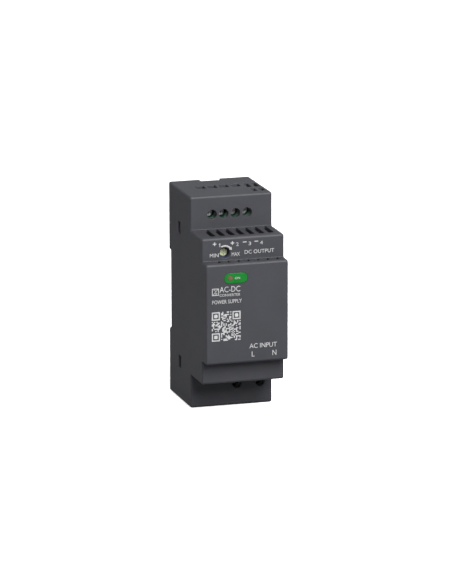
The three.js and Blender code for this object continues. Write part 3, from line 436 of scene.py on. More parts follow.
BORE_GAP, BORE_BACK = 0.15 * mm, 45 * mm


def clamp_openings():
    """For each clamp, a round screw hole in the terminal face and a funnelled wire hole in the end."""
    holes = []
    for node in OUTPUTS + INPUTS:
        at = middle(node)
        sign = 1 if at.z > 0 else -1
        wire = box_corners(at.x, WIRE_Y, WIRE_WIDTH, WIRE_LENGTH, WIRE_CORNER)
        holes.append(round_hole(at.x, at.z, SCREW_HOLE, TERMINAL_FACE, HOLE_DEPTH, HOLE_LIP))
        holes.append(end_hole(wire, sign, HALF_HEIGHT, HOLE_DEPTH, FUNNEL))
    return holes


def vent_openings(sign):
    """A row of long vents in the band's end, a row of short ones in the nose's end, and four at one edge of
    the terminal end. Both ends of the case have them, turned half round."""
    holes = []
    for (near, far), half in ((BAND_VENT, BAND_HALF), (NOSE_VENT, NOSE_HALF)):
        for x in VENT_XS:
            corners = box_corners(x, -(near + far) / 2, VENT_WIDTH, far - near, VENT_CORNER)
            holes.append(end_hole(corners, sign, half, VENT_DEPTH, VENT_LIP))
    for x in END_VENT_XS:
        for low, high in END_VENT_YS:
            corners = box_corners(sign * x, (low + high) / 2, END_VENT_WIDTH, high - low, END_VENT_CORNER)
            holes.append(end_hole(corners, sign, HALF_HEIGHT, VENT_DEPTH, END_VENT_LIP))
    return holes


def snap_windows():
    """Four windows in the sides, where the base's hooks catch."""
    return [
        side_hole(box_corners(SNAP_Y, end * SNAP_Z, SNAP_LENGTH, SNAP_HEIGHT, SNAP_CORNER), side)
        for end in (1, -1)
        for side in (-1, 1)
    ]


shell = housing_solid()
pocket_length, pocket_height = WINDOW_LENGTH + 2 * POCKET_GAP, WINDOW_HEIGHT + 2 * POCKET_GAP
pocket_corners = box_corners(WINDOW_AT.x, WINDOW_AT.z, pocket_length, pocket_height, POCKET_CORNER)
pocket = rounded_outline(pocket_corners, 0, 16)
cut_away(
    shell,
    *clamp_openings(),
    *vent_openings(1),
    *vent_openings(-1),
    *snap_windows(),
    round_hole(TRIMMER.x, TRIMMER.z, TRIMMER_HOLE, BAND_FACE, HOLE_DEPTH, TRIMMER_LIP),
    slab(pocket, NOSE_FACE - POCKET_DEPTH, NOSE_FACE + PAST),
    rail_slot(0, BACK + PAST, RAIL_LOW, RAIL_HIGH, RAIL_FLARE),
)
pipe_bore = disc_outline(PIPE_AT.x, PIPE_AT.z, PIPE_RADIUS + BORE_GAP, 32)
latch_gate = rounded_outline(box_corners(0, BACK, GATE_WIDTH, GATE_DEPTH, GATE_CORNER))
back_groove = rounded_outline(box_corners(0, BACK, GROOVE_WIDTH, GROOVE_DEPTH, GATE_CORNER))
cut_away(
    shell,
    slab(pipe_bore, BORE_BACK, NOSE_FACE + PAST),
    rail_slot(*UPPER_LIP_SLOT, LIP_FLARE),
    rail_slot(*LOWER_LIP_SLOT, LIP_FLARE),
    slab(latch_gate, -HALF_HEIGHT - PAST, CASE_WALL + PAST - HALF_HEIGHT, "upwards"),
    slab(back_groove, HALF_HEIGHT - CASE_WALL - PAST, HALF_HEIGHT + PAST, "upwards"),
)
case_grey = grained(
    "case_grey", (0.024, 0.0245, 0.0285), (0.027, 0.0275, 0.032), (0.46, 0.60), 0.2 * mm, 0.012 * mm,
    shine=0.25,
)
fitted(shell, case_grey, "case", "case_plastic", "front_housing")


# ---- Printed markings --------------------------------------------------------------------------------
# White pad-printed ink on the band and the nose: clamp numbers, a turning arrow round the trimmer, plain
# electrical words and a square patch of random cells. The ink stands a hair's breadth off the plastic.

INK_SINK = 0.02 * mm
ARROW_RADIUS, ARROW_WIDTH, ARROW_END = 3.1 * mm, 0.6 * mm, 42
PATCH_CELLS, PATCH_LEFT, PATCH_LOW, PATCH_SIZE = 25, -15.4 * mm, -11.3 * mm, 12.45 * mm
PATCH_SEED, PATCH_FILL, PATCH_CORNER = 7, 0.46, 7
PLUS_SIGNS, MINUS_SIGNS = [(-12.3, 28.7), (-4.6, 28.7)], [(0.7, 28.8), (5.8, 28.8)]  # middles, in mm
SIGN_STROKE, PLUS_LENGTH, MINUS_LENGTH = 0.4, 1.5, 1.6
PLUS_ARM, PLUS_ARM_AT = 0.54, 0.48
FIGURE_ONE = [  # the corners of the first clamp's number, in mm
    (-10.15, 27.3), (-9.88, 27.3), (-9.88, 28.8), (-10.12, 28.8),
    (-10.5, 28.5), (-10.5, 28.22), (-10.15, 28.42),
]
BAND_WORDS = [  # words, left, right, low and high edge in mm
    ("MIN", -14.4, -10.6, 23.1, 24.7),
    ("MAX", -4.9, -1.4, 23.1, 24.7),
    ("DC OUTPUT", 0.7, 13.5, 23.7, 25.3),
    ("2", -3.0, -1.9, 27.3, 28.8),
    ("3", 2.4, 3.5, 27.3, 28.8),
    ("4", 7.4, 8.6, 27.3, 28.8),
]
NOSE_WORDS = [
    ("ON", -5.4, -3.2, 14.65, 15.65),
    ("AC-DC", -12.0, -3.1, 9.4, 11.8),
    ("CONVERTER", -12.0, -3.1, 7.6, 8.7),
    ("POWER SUPPLY", -15.2, -2.4, 4.6, 6.2),
    ("AC INPUT", 0.9, 12.8, -15.3, -13.3),
    ("L", 1.9, 3.1, -18.9, -16.7),
    ("N", 10.9, 12.6, -18.9, -16.7),
]


def lettering(words, left, right, low, high, face):
    """Words in a plain face, as closed slabs: the flat letters are stretched over the box from left to right
    and from low to high, and their thickness runs from just inside the face to the top of the ink."""
    curve = bpy.data.curves.new("words", "FONT")
    curve.body, curve.extrude, curve.resolution_u = words, 0.5, 3
    text = bpy.data.objects.new("words", curve)
    scene.collection.objects.link(text)
    mesh = bpy.data.meshes.new_from_object(text.evaluated_get(bpy.context.evaluated_depsgraph_get()))
    bpy.data.objects.remove(text)
    flat = np.empty(len(mesh.vertices) * 3)
    mesh.vertices.foreach_get("co", flat)
    flat = flat.reshape(-1, 3)
    share = (flat - flat.min(0)) / np.ptp(flat, axis=0)
    x = left + share[:, 0] * (right - left)
    forwards = face - INK_SINK + share[:, 2] * (INK_SINK + INK)
    z = low + share[:, 1] * (high - low)
    mesh.vertices.foreach_set("co", np.stack([x, -forwards, z], 1).ravel())
    piece = bpy.data.objects.new("letters", mesh)
    scene.collection.objects.link(piece)
    return piece


def ink_slabs(face, outlines):
    """Closed slabs of ink with the given outlines on a front face."""
    return closed_piece("marks", *[slab(outline, face - INK_SINK, face + INK) for outline in outlines])


def plain_box(x, z, width, height):
    """A sharp rectangle about a middle, as an outline."""
    return np.array(box_corners(x, z, width, height))[:, :2]


def bar(x, z, width, height):
    """A rectangle of ink about a middle, with sizes in mm."""
    return plain_box(x * mm, z * mm, width * mm, height * mm)


def arc_band(x, z, radius, width, start, end):
    """A curved stripe: its outer edge from start to end, then its inner edge back, angles in degrees."""
    angle = np.radians(np.linspace(start, end, 24))
    edge = np.stack([np.cos(angle), np.sin(angle)], 1)
    stripe = np.concatenate([edge * (radius + width / 2), edge[::-1] * (radius - width / 2)])
    return stripe + np.array([x, z])


def turning_arrow():
    """A stripe that runs over the top of the trimmer from the left to the right, with a tip at its end."""
    tip_angle, tip_length, reach = math.radians(ARROW_END), 1.2 * mm, 0.75 * mm
    way = np.array([math.sin(tip_angle), -math.cos(tip_angle)])
    out = np.array([math.cos(tip_angle), math.sin(tip_angle)])
    root = np.array([TRIMMER.x, TRIMMER.z]) + out * ARROW_RADIUS
    tip = np.array([root + way * tip_length, root + out * reach, root - out * reach])
    return [arc_band(TRIMMER.x, TRIMMER.z, ARROW_RADIUS, ARROW_WIDTH, ARROW_END - 1, 118), tip]


def converter_symbol(x, z, half):
    """A square frame with a diagonal, a wave for alternating current (the sine of one turn) and two bars for
    direct current, all in mm about a middle."""
    stroke = 0.3
    frame_bars = [bar(x + s * half, z, stroke, 2 * half - stroke - 0.02) for s in (-1, 1)]
    frame_bars += [bar(x, z + s * half, 2 * half + stroke, stroke) for s in (-1, 1)]
    slope = np.array([(-half, -half), (-half + stroke, -half), (half, half), (half - stroke, half)])
    slope = (slope * 0.86 + np.array([x, z])) * mm
    phase = np.linspace(0, 2 * np.pi, 20)
    wave = np.stack([x - 0.78 + phase / (2 * np.pi) * 0.95, z + 0.72 + 0.22 * np.sin(phase)], 1)
    wave = np.concatenate([wave - [0, 0.11], (wave + [0, 0.11])[::-1]]) * mm
    direct = [bar(x + 0.35, z - height, 0.9, 0.2) for height in (0.5, 0.95)]
    return [*frame_bars, slope, wave, *direct]


def random_patch():
    """A square of cells that says nothing. Three corners hold a frame round a dot, and the other cells are
    filled at random; neighbours in a row are one slab, a little short of the rows above and below."""
    count, cell, corner = PATCH_CELLS, PATCH_SIZE / PATCH_CELLS, PATCH_CORNER
    filled = np.random.default_rng(PATCH_SEED).random((count, count)) < PATCH_FILL
    outlines = []
    for column, row in ((0, 0), (0, count - corner), (count - corner, count - corner)):
        low_c, low_r = max(column - 1, 0), max(row - 1, 0)
        filled[low_r : row + corner + 1, low_c : column + corner + 1] = False
        x, z = PATCH_LEFT + (column + corner / 2) * cell, PATCH_LOW + (row + corner / 2) * cell
        outlines.append(rounded_outline(box_corners(x, z, 3 * cell, 3 * cell, 0.9 * cell), 0, 5))
        for sign in (-1, 1):
            reach = (corner - 1) / 2 * cell
            outlines.append(plain_box(x, z + sign * reach, corner * cell, cell))
            outlines.append(plain_box(x + sign * reach, z, cell, (corner - 2.04) * cell))
    for row in range(count):
        edges = np.flatnonzero(np.diff(np.concatenate([[0], filled[row], [0]])))
        for start, end in edges.reshape(-1, 2):
            x, z = PATCH_LEFT + (start + end) / 2 * cell, PATCH_LOW + (row + 0.5) * cell
            outlines.append(plain_box(x, z, (end - start) * cell, 0.96 * cell))
    return outlines


def printed(name, face, words, outlines):
    """One print run on one face: all its letters and marks as one piece of white ink."""
    parts = [lettering(text, *(edge * mm for edge in edges), face) for text, *edges in words]
    parts.append(ink_slabs(face, outlines))
    bpy.ops.object.select_all(action="DESELECT")
    for part in parts:
        part.select_set(True)
    bpy.context.view_layer.objects.active = parts[-1]
    bpy.ops.object.join()
    piece = parts[-1]
    piece.name = piece.data.name = name
    work = bmesh.new()
    work.from_mesh(piece.data)
    bmesh.ops.remove_doubles(work, verts=work.verts, dist=0.0005 * mm)
    work.to_mesh(piece.data)
    work.free()
    fitted(piece, white_ink, "case", None)
    piece.modifiers.clear()
    piece.data.shade_flat()


white_ink = grained(
    "white_ink", (0.25, 0.25, 0.25), (0.31, 0.31, 0.31), (0.45, 0.6), 0.12 * mm, 0.004 * mm, patch=2 * mm
)
signs = []
for x, z in PLUS_SIGNS:
    signs.append(bar(x, z, PLUS_LENGTH, SIGN_STROKE))
    signs += [bar(x, z + rise, SIGN_STROKE, PLUS_ARM) for rise in (PLUS_ARM_AT, -PLUS_ARM_AT)]
signs += [bar(x, z, MINUS_LENGTH, SIGN_STROKE) for x, z in MINUS_SIGNS]
printed("band_markings", BAND_FACE, BAND_WORDS, [*turning_arrow(), np.array(FIGURE_ONE) * mm, *signs])
printed("nose_markings", NOSE_FACE, NOSE_WORDS, [*converter_symbol(-13.8, 9.7, 1.35), *random_patch()])


# ---- Status window and light pipe --------------------------------------------------------------------
# A thin green inset lies in a pocket of the nose, with a word printed beside a round hole. A clear pipe
# comes up through the hole from the lamp behind it. Its front is ground into a slight lens.

WINDOW_EASE = 0.15 * mm
LENS_RISE = 0.12 * mm
PIPE_GAP, PIPE_CHAMFER = 0.08 * mm, 0.1 * mm


def turned(name, x, z, profile):
    """A round piece whose axis points forwards: a circle is carried along it, and its radius follows a
    profile of (radius, distance forwards)."""
    radii, stations = zip(*profile)
    return closed_piece(name, carried([disc_outline(x, z, radius) for radius in radii], stations, "forwards"))


window_corners = box_corners(
    WINDOW_AT.x, WINDOW_AT.z, WINDOW_LENGTH, WINDOW_HEIGHT, WINDOW_HEIGHT / 2 - 0.01 * mm
)
quarter = np.linspace(0, np.pi / 2, 4)
window_insets = [0, *(WINDOW_EASE * (1 - np.cos(quarter)))]
window_stations = [WINDOW_BACK, *(NOSE_FACE - WINDOW_EASE * (1 - np.sin(quarter)))]
window_rings = [rounded_outline(window_corners, inset, 16) for inset in window_insets]
window = closed_piece("status_window_inset", carried(window_rings, window_stations, "forwards"))
window_bore = disc_outline(PIPE_AT.x, PIPE_AT.z, PIPE_RADIUS + PIPE_GAP, 32)
cut_away(window, slab(window_bore, WINDOW_BACK - PAST, NOSE_FACE + PAST))
window_green = grained(
    "window_green", (0.0005, 0.085, 0.006), (0.001, 0.110, 0.012), (0.30, 0.42), 0.3 * mm, 0.004 * mm,
    patch=4 * mm, shine=0.25,
)
fitted(window, window_green, "case", "window_green", "status_window")

lens = np.linspace(0, 1, 7)[:-1]
pipe_profile = [(PIPE_RADIUS * 0.9, PIPE_BACK), (PIPE_RADIUS, PIPE_BACK + PIPE_CHAMFER)]
pipe_profile += [(PIPE_RADIUS * (1 - 0.85 * s), PIPE_FRONT - LENS_RISE * (1 - s) ** 2) for s in lens]
pipe = turned("light_pipe_rod", PIPE_AT.x, PIPE_AT.z, pipe_profile)
pipe_clear = grained(
    "pipe_clear", (0.070, 0.030, 0.016), (0.100, 0.048, 0.026), (0.06, 0.14), 0.5 * mm, 0.002 * mm,
    patch=1.5 * mm, coat=0.8,
)
fitted(pipe, pipe_clear, "case", "clear_plastic", "light_pipe")


# ---- Trimmer and lamp --------------------------------------------------------------------------------
# A small square trimmer sits behind the round hole in the band, and its cream rotor has a cross slot for a
# screwdriver. The lamp is a 3 mm tinted diode on two bent leads, under the light pipe.

ROTOR_RADIUS, ROTOR_BACK, ROTOR_FRONT = round_place("trimmer_rotor")[1:]
SLOT_WIDTH, SLOT_DEPTH, SLOT_HALF_LENGTH = 0.7 * mm, 0.6 * mm, 1.15 * mm
ROTOR_PROFILE = [  # radius and distance forwards, from the back rim to the dished front
    (ROTOR_RADIUS - 0.1 * mm, ROTOR_BACK),
    (ROTOR_RADIUS, ROTOR_BACK + 0.1 * mm),
    (ROTOR_RADIUS, ROTOR_FRONT - 0.2 * mm),
    (ROTOR_RADIUS - 0.06 * mm, ROTOR_FRONT - 0.06 * mm),
    (ROTOR_RADIUS - 0.2 * mm, ROTOR_FRONT),
    (ROTOR_RADIUS - 0.45 * mm, ROTOR_FRONT),
    (ROTOR_RADIUS - 0.5 * mm, ROTOR_FRONT - 0.1 * mm),
]


def cross_outline(x, z, long_half, short_half, width):
    """A plus sign as one outline: arms of a long half up and down, and of a short half to both sides."""
    w = width / 2
    quarter = [(short_half, -w), (short_half, w), (w, w), (w, long_half), (-w, long_half), (-w, w)]
    half = [(-short_half, w), (-short_half, -w), (-w, -w), (-w, -long_half), (w, -long_half), (w, -w)]
    return np.array([(x + u, z + v) for u, v in quarter + half])


def eased(node, name, edge, sharpest=35):
    """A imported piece's own shape with its edges eased: its triangles are joined into flat faces, and every
    edge that bends by more than the sharpest angle gets a two-step round of the given size."""
    work = bmesh.new()
    work.from_mesh(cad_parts[node].data)
    bmesh.ops.remove_doubles(work, verts=work.verts, dist=0.001 * mm)
    bmesh.ops.dissolve_limit(work, angle_limit=math.radians(1), verts=work.verts, edges=work.edges)
    bends = [e for e in work.edges if e.is_manifold and e.calc_face_angle() > math.radians(sharpest)]
    bmesh.ops.bevel(
        work, geom=bends, offset=edge, segments=2, profile=0.5, affect="EDGES", clamp_overlap=True
    )
    mesh = bpy.data.meshes.new(name)
    work.to_mesh(mesh)
    work.free()
    piece = bpy.data.objects.new(name, mesh)
    scene.collection.objects.link(piece)
    return piece


def carried_over(node, name, edge, material, slot, body="case"):
    """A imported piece's own shape, eased and finished."""
    return fitted(eased(node, name, edge), material, body, slot, node)


# The trimmer body's blue is darker than its own colour: painted shade for the shadow in the hole in front of
# it.
trimmer_blue = grained(
    "trimmer_blue", (0.008, 0.016, 0.050), (0.012, 0.024, 0.075), (0.35, 0.5), 0.25 * mm, 0.006 * mm
)
carried_over("trimmer_body", "trimmer_case", 0.15 * mm, trimmer_blue, "trimmer_blue")

rotor = turned("trimmer_wheel", TRIMMER.x, TRIMMER.z, ROTOR_PROFILE)
rotor_slot = cross_outline(TRIMMER.x, TRIMMER.z, SLOT_HALF_LENGTH, ROTOR_RADIUS + PAST, SLOT_WIDTH)
cut_away(rotor, slab(rotor_slot, ROTOR_FRONT - SLOT_DEPTH, ROTOR_FRONT + PAST))
rotor_cream = grained(
    "rotor_cream", (0.26, 0.28, 0.17), (0.34, 0.36, 0.24), (0.4, 0.55), 0.3 * mm, 0.008 * mm, patch=1.5 * mm
)
fitted(rotor, rotor_cream, "trimmer", "rotor_cream", "trimmer_rotor")

lamp_tint = grained(
    "lamp_tint", (0.40, 0.48, 0.34), (0.52, 0.60, 0.44), (0.08, 0.16), 0.5 * mm, 0.002 * mm, coat=0.6
)
carried_over("status_led", "status_lamp", 0.12 * mm, lamp_tint, "led_body")


# ---- Rear base and rail latch ------------------------------------------------------------------------
# The base is a second moulding, a little darker, which closes the back and snaps into four side windows.
# A slider in its lower half holds the rail. A small steel coil between the two pushes the slider up.

base_grey = grained(
    "base_grey", (0.018, 0.0185, 0.021), (0.022, 0.0225, 0.0255), (0.45, 0.6), 0.2 * mm, 0.012 * mm,
    shine=0.3,
)
carried_over("rear_base", "rear_base_moulding", 0.2 * mm, base_grey, "base_plastic")
latch_black = grained(
    "latch_black", (0.009, 0.009, 0.010), (0.013, 0.013, 0.014), (0.32, 0.46), 0.3 * mm, 0.008 * mm
)
carried_over("rail_latch", "rail_latch_slider", 0.25 * mm, latch_black, "latch_plastic", "latch")

SPRING_LOW, SPRING_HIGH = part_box("latch_spring")
SPRING_WIRE = 0.225 * mm
SPRING_TURNS, CLOSED_RISE = 6, 0.47 * mm


def wire_rings(path, outwards, radius, sides=10):
    """A round wire along a path. Each ring lies across the path: its first axis is the outward direction
    with the part along the path taken off, and its second is the cross product of the path and the first."""
    along = np.gradient(path, axis=0)
    along /= np.linalg.norm(along, axis=1, keepdims=True)
    first = outwards - along * (along * outwards).sum(1, keepdims=True)
    first /= np.linalg.norm(first, axis=1, keepdims=True)
    second = np.cross(along, first)
    angle = np.linspace(0, 2 * np.pi, sides, endpoint=False)[None, :, None]
    return path[:, None] + radius * (first[:, None] * np.cos(angle) + second[:, None] * np.sin(angle))


def spring_rings():
    """A helix with a closed turn at each end: the height grows slowly over the first and last turns and
    evenly over the others."""
    turns = np.linspace(0, SPRING_TURNS, SPRING_TURNS * 28)
    low, high = SPRING_LOW.z + SPRING_WIRE, SPRING_HIGH.z - SPRING_WIRE
    rises = [low, low + CLOSED_RISE, high - CLOSED_RISE, high]
    height = np.interp(turns, [0, 1, SPRING_TURNS - 1, SPRING_TURNS], rises)
    radius = (SPRING_HIGH.x - SPRING_LOW.x) / 2 - SPRING_WIRE
    centre_y = (SPRING_LOW.y + SPRING_HIGH.y) / 2
    outwards = np.stack([np.cos(2 * np.pi * turns), np.sin(2 * np.pi * turns), 0 * turns], 1)
    path = outwards * radius + np.stack([0 * turns, 0 * turns + centre_y, height], 1)
    return wire_rings(path, outwards, SPRING_WIRE * 0.98)


spring_steel = grained(
    "spring_steel", (0.42, 0.42, 0.43), (0.52, 0.52, 0.53), (0.22, 0.36), 0.15 * mm, 0.003 * mm, metal=1.0
)
spring = closed_piece("latch_spring_coil", spring_rings())
fitted(spring, spring_steel, "case", "spring_steel", "latch_spring")
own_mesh(spring)


# ---- Screw clamps ------------------------------------------------------------------------------------
# Each pole has a zinc-plated slotted screw, a bent steel cage that the screw draws forwards and a tinned
# brass bar with a pin in the board. Green mouldings hold four poles at the top and two at the bottom.

HEAD_HEIGHT, SHANK_RADIUS, NECK_RADIUS = 1.9 * mm, 1.25 * mm, 1.12 * mm
THREAD_PITCH, THREAD_DEPTH = 0.45 * mm, 0.1 * mm
DRIVER_SLOT, DRIVER_DEPTH, CROSS_HALF = 0.6 * mm, 0.9 * mm, 1.1 * mm


def screw_rings(x, z, back, front, head_radius):
    """A threaded shank and a head on one axis. The shank's radius dips along a helix: it is a cosine of the
    distance along the axis, in pitches, less the angle round it. The tip is drawn in to a blunt point, and
    the head has rounded rims."""
    under_head = front - HEAD_HEIGHT
    shank = np.arange(back, under_head - 0.6 * mm, THREAD_PITCH / 7)
    angle = np.linspace(0, 2 * np.pi, 28, endpoint=False)
    dip = 0.5 - 0.5 * np.cos(2 * np.pi * (shank - back)[:, None] / THREAD_PITCH - angle)
    tip = np.minimum(1, 0.72 + (shank - back) / (1.4 * mm))
    head = [  # radius and distance forwards, from the neck to the flat top
        (NECK_RADIUS, under_head - 0.5 * mm),
        (NECK_RADIUS, under_head),
        (head_radius - 0.12 * mm, under_head),
        (head_radius, under_head + 0.12 * mm),
        (head_radius, front - 0.35 * mm),
        (head_radius - 0.05 * mm, front - 0.18 * mm),
        (head_radius - 0.18 * mm, front - 0.05 * mm),
        (head_radius - 0.4 * mm, front),
    ]
    threaded = (SHANK_RADIUS - THREAD_DEPTH * dip) * tip[:, None]
    head_radii, head_stations = np.array(head).T
    radius = np.concatenate([threaded, np.repeat(head_radii[:, None], len(angle), 1)])
    stations = np.concatenate([shank, head_stations])
    outlines = np.stack([x + radius * np.cos(angle), z + radius * np.sin(angle)], 2)
    return carried(outlines, stations, "forwards")


def clamp_screw(node):
    """One clamp screw with its slot right across the head and a shorter slot square to it."""
    at, head_radius, back, front = round_place(node)
    piece = closed_piece(node + "_slotted", screw_rings(at.x, at.z, back, front, head_radius))
    slot = cross_outline(at.x, at.z, HEAD_HEIGHT + PAST, CROSS_HALF, DRIVER_SLOT)
    cut_away(piece, slab(slot, front - DRIVER_DEPTH, front + PAST))
    return fitted(piece, zinc_steel, node + "_body", "screw_steel", node)


zinc_steel = grained(
    "zinc_steel", (0.40, 0.40, 0.41), (0.52, 0.52, 0.52), (0.28, 0.45), 0.2 * mm, 0.004 * mm, metal=1.0,
    patch=2 * mm,
)
cage_steel = grained(
    "cage_steel", (0.36, 0.36, 0.37), (0.46, 0.46, 0.46), (0.3, 0.5), 0.25 * mm, 0.005 * mm, metal=1.0,
    patch=2 * mm, stretch=(1, 6, 1),
)
tinned_brass = grained(
    "tinned_brass", (0.48, 0.45, 0.36), (0.58, 0.55, 0.46), (0.25, 0.4), 0.2 * mm, 0.004 * mm, metal=1.0,
    patch=3 * mm, stretch=(1, 1, 5),
)
clamp_green = grained(
    "clamp_green", (0.002, 0.040, 0.017), (0.003, 0.055, 0.024), (0.3, 0.45), 0.25 * mm, 0.006 * mm,
    patch=5 * mm,
)
for node in OUTPUTS + INPUTS:
    clamp_screw(node)
    cage, contact = node.replace("screw", "cage"), node.replace("screw", "contact")
    carried_over(cage, cage + "_strip", 0.14 * mm, cage_steel, "clamp_steel", cage + "_body")
    carried_over(contact, contact + "_bar", 0.1 * mm, tinned_brass, "contact_brass")
for node in ("output_terminal_block", "input_terminal_block"):
    carried_over(node, node + "_moulding", 0.15 * mm, clamp_green, "terminal_green")


# ---- Boards and chips --------------------------------------------------------------------------------
# The main board lies at the back with a film under it, and a small upright board carries the trimmer and
# the lamp. Both are glass fibre with green solder mask over copper and tinned round pads. A pin header
# joins them, and each carries a small black chip.

ON_BOARD = -middle("main_board").y + 0.85 * mm  # leads start a hair in front of the main board
COPPER_CELL, COPPER_GAP, PAD_CELL, PAD_SHARE = 5.5 * mm, 0.05, 2.54 * mm, 0.17
MASK_DARK, PAD_METAL = (0.002, 0.020, 0.008, 1), (0.55, 0.54, 0.50, 1)
WIRE_RADIUS, PIN_RADIUS, LEG_RADIUS = 0.3 * mm, 0.32 * mm, 0.2 * mm
HEADER_PINS, HEADER_END, HEADER_TOP = 4, 1.1 * mm, 0.5 * mm
LEGS_IN_ROW, LEG_END, LEG_INSET, LEG_ROW, LEG_BACK = 4, 0.55 * mm, 0.25 * mm, 0.5 * mm, 0.6 * mm
CHIP_TOP, CHIP_FOOT = 0.15 * mm, 0.1 * mm
HAIR = 0.01 * mm


def solder_mask(name):
    """Board lacquer: copper areas show lighter through it, parted by thin dark gaps where cells meet, and
    bright metal pads sit in the middles of a finer set of cells."""
    greens = (0.004, 0.045, 0.016), (0.006, 0.060, 0.022)
    material = grained(name, *greens, (0.25, 0.4), 0.4 * mm, 0.003 * mm)
    nodes, links = material.node_tree.nodes, material.node_tree.links
    shader = nodes["Principled BSDF"]
    place = nodes.new("ShaderNodeTexCoord").outputs["Object"]
    masks = []
    for feature, size, edge in (("DISTANCE_TO_EDGE", COPPER_CELL, COPPER_GAP), ("F1", PAD_CELL, PAD_SHARE)):
        cells, step = nodes.new("ShaderNodeTexVoronoi"), nodes.new("ShaderNodeMath")
        cells.feature = feature
        cells.inputs["Scale"].default_value = 1 / size
        step.operation, step.inputs[1].default_value = "LESS_THAN", edge
        links.new(place, cells.inputs["Vector"])
        links.new(cells.outputs["Distance"], step.inputs[0])
        masks.append(step.outputs["Value"])
    lacquer = shader.inputs["Base Color"].links[0].from_socket
    for mask, colour in zip(masks, (MASK_DARK, PAD_METAL)):
        mix = nodes.new("ShaderNodeMix")
        mix.data_type = "RGBA"
        mix.inputs["B"].default_value = colour
        links.new(lacquer, mix.inputs["A"])
        links.new(mask, mix.inputs["Factor"])
        lacquer = mix.outputs["Result"]
    links.new(lacquer, shader.inputs["Base Color"])
    links.new(masks[1], shader.inputs["Metallic"])
    return material


def moulded_body(low, high, corner, edge):
    """A box with rounded upright edges. Near its back and front the outline shrinks along a quarter circle,
    which rounds the other edges. Returns the rings, from the back to the front."""
    quarter = np.linspace(0, np.pi / 2, 4)
    inset = edge * (1 - np.sin(quarter))
    rise = edge * (1 - np.cos(quarter))
    centre = (low + high) / 2
    corners = box_corners(centre.x, centre.z, high.x - low.x, high.z - low.z, corner)
    rings = [rounded_outline(corners, amount, 5) for amount in (*inset, *inset[::-1])]
    stations = np.concatenate([rise - high.y, -low.y - rise[::-1]])
    return carried(rings, stations, "forwards")


def lead(x, z, back, front, radius=WIRE_RADIUS):
    """A straight round wire that points forwards, with a chamfered tip."""
    rings = [disc_outline(x, z, r, 12) for r in (radius * 0.7, radius, radius)]
    return carried(rings, [back, back + radius * 0.4, front], "forwards")


def second_finish(piece, material, chosen):
    """Gives a second material to the faces that a test on their centres (rows of x, y, z) picks out."""
    centres = np.empty(len(piece.data.polygons) * 3)
    piece.data.polygons.foreach_get("center", centres)
    picked = chosen(centres.reshape(-1, 3))
    piece.data.materials.append(material)
    piece.data.polygons.foreach_set("material_index", picked.astype(np.int32))


def bare_leads(piece, front):
    """Tinned metal on the faces whose centres lie behind a distance forwards."""
    second_finish(piece, tin_lead, lambda centre: -centre[:, 1] < front)


board_green = solder_mask("board_green")
film_cream = grained(
    "film_cream", (0.50, 0.47, 0.38), (0.60, 0.57, 0.47), (0.4, 0.55), 0.5 * mm, 0.004 * mm, patch=8 * mm
)
black_epoxy = grained(
    "black_epoxy", (0.008, 0.008, 0.009), (0.013, 0.013, 0.014), (0.45, 0.65), 0.15 * mm, 0.008 * mm,
    patch=3 * mm,
)
tin_lead = grained(
    "tin_lead", (0.50, 0.50, 0.50), (0.62, 0.62, 0.61), (0.25, 0.4), 0.2 * mm, 0.003 * mm, metal=1.0,
    patch=2 * mm,
)
for node in ("main_board", "control_board"):
    carried_over(node, node + "_plate", 0.06 * mm, board_green, "board_green")
carried_over("insulating_sheet", "insulating_film", 0.05 * mm, film_cream, "insulating_film")
header_low, header_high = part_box("board_header")
header_pins = [
    lead((header_low.x + header_high.x) / 2, z, ON_BOARD, -header_low.y, PIN_RADIUS)
    for z in np.linspace(header_low.z + HEADER_END, header_high.z - HEADER_END, HEADER_PINS)
]
header_body_low = header_low + Vector((0, HEADER_TOP, 0))
header_body = moulded_body(header_body_low, header_high, 0.3 * mm, 0.15 * mm)
header = closed_piece("board_header_strip", header_body, *header_pins)
fitted(header, black_epoxy, "case", "black_moulding", "board_header")
second_finish(header, tin_lead, lambda centre: -centre[:, 1] > -header_body_low.y + HAIR)

chip_low, chip_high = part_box("control_chip")
chip_legs = [
    lead(x, z, LEG_BACK - chip_high.y, -chip_low.y, LEG_RADIUS)
    for x in np.linspace(chip_low.x + LEG_END, chip_high.x - LEG_END, LEGS_IN_ROW)
    for z in (chip_low.z + LEG_INSET, chip_high.z - LEG_INSET)
]
chip_core_low = chip_low + Vector((0, CHIP_TOP, LEG_ROW))
chip_core_high = chip_high - Vector((0, CHIP_FOOT, LEG_ROW))
chip_core = moulded_body(chip_core_low, chip_core_high, 0.15 * mm, 0.2 * mm)
chip = closed_piece("control_chip_package", chip_core, *chip_legs)
fitted(chip, black_epoxy, "case", "black_moulding", "control_chip")
half_core = (chip_core_high.z - chip_core_low.z) / 2
chip_z = middle("control_chip").z
second_finish(chip, tin_lead, lambda centre: np.abs(centre[:, 2] - chip_z) > half_core + HAIR)
carried_over("reference_chip", "reference_chip_package", 0.12 * mm, black_epoxy, "black_moulding")


# ---- Mains side --------------------------------------------------------------------------------------
# From the mains clamps up the board: a round fuse, a yellow film capacitor, two coated discs, a ring choke
# with two copper windings, the bridge rectifier and the tall storage capacitor.

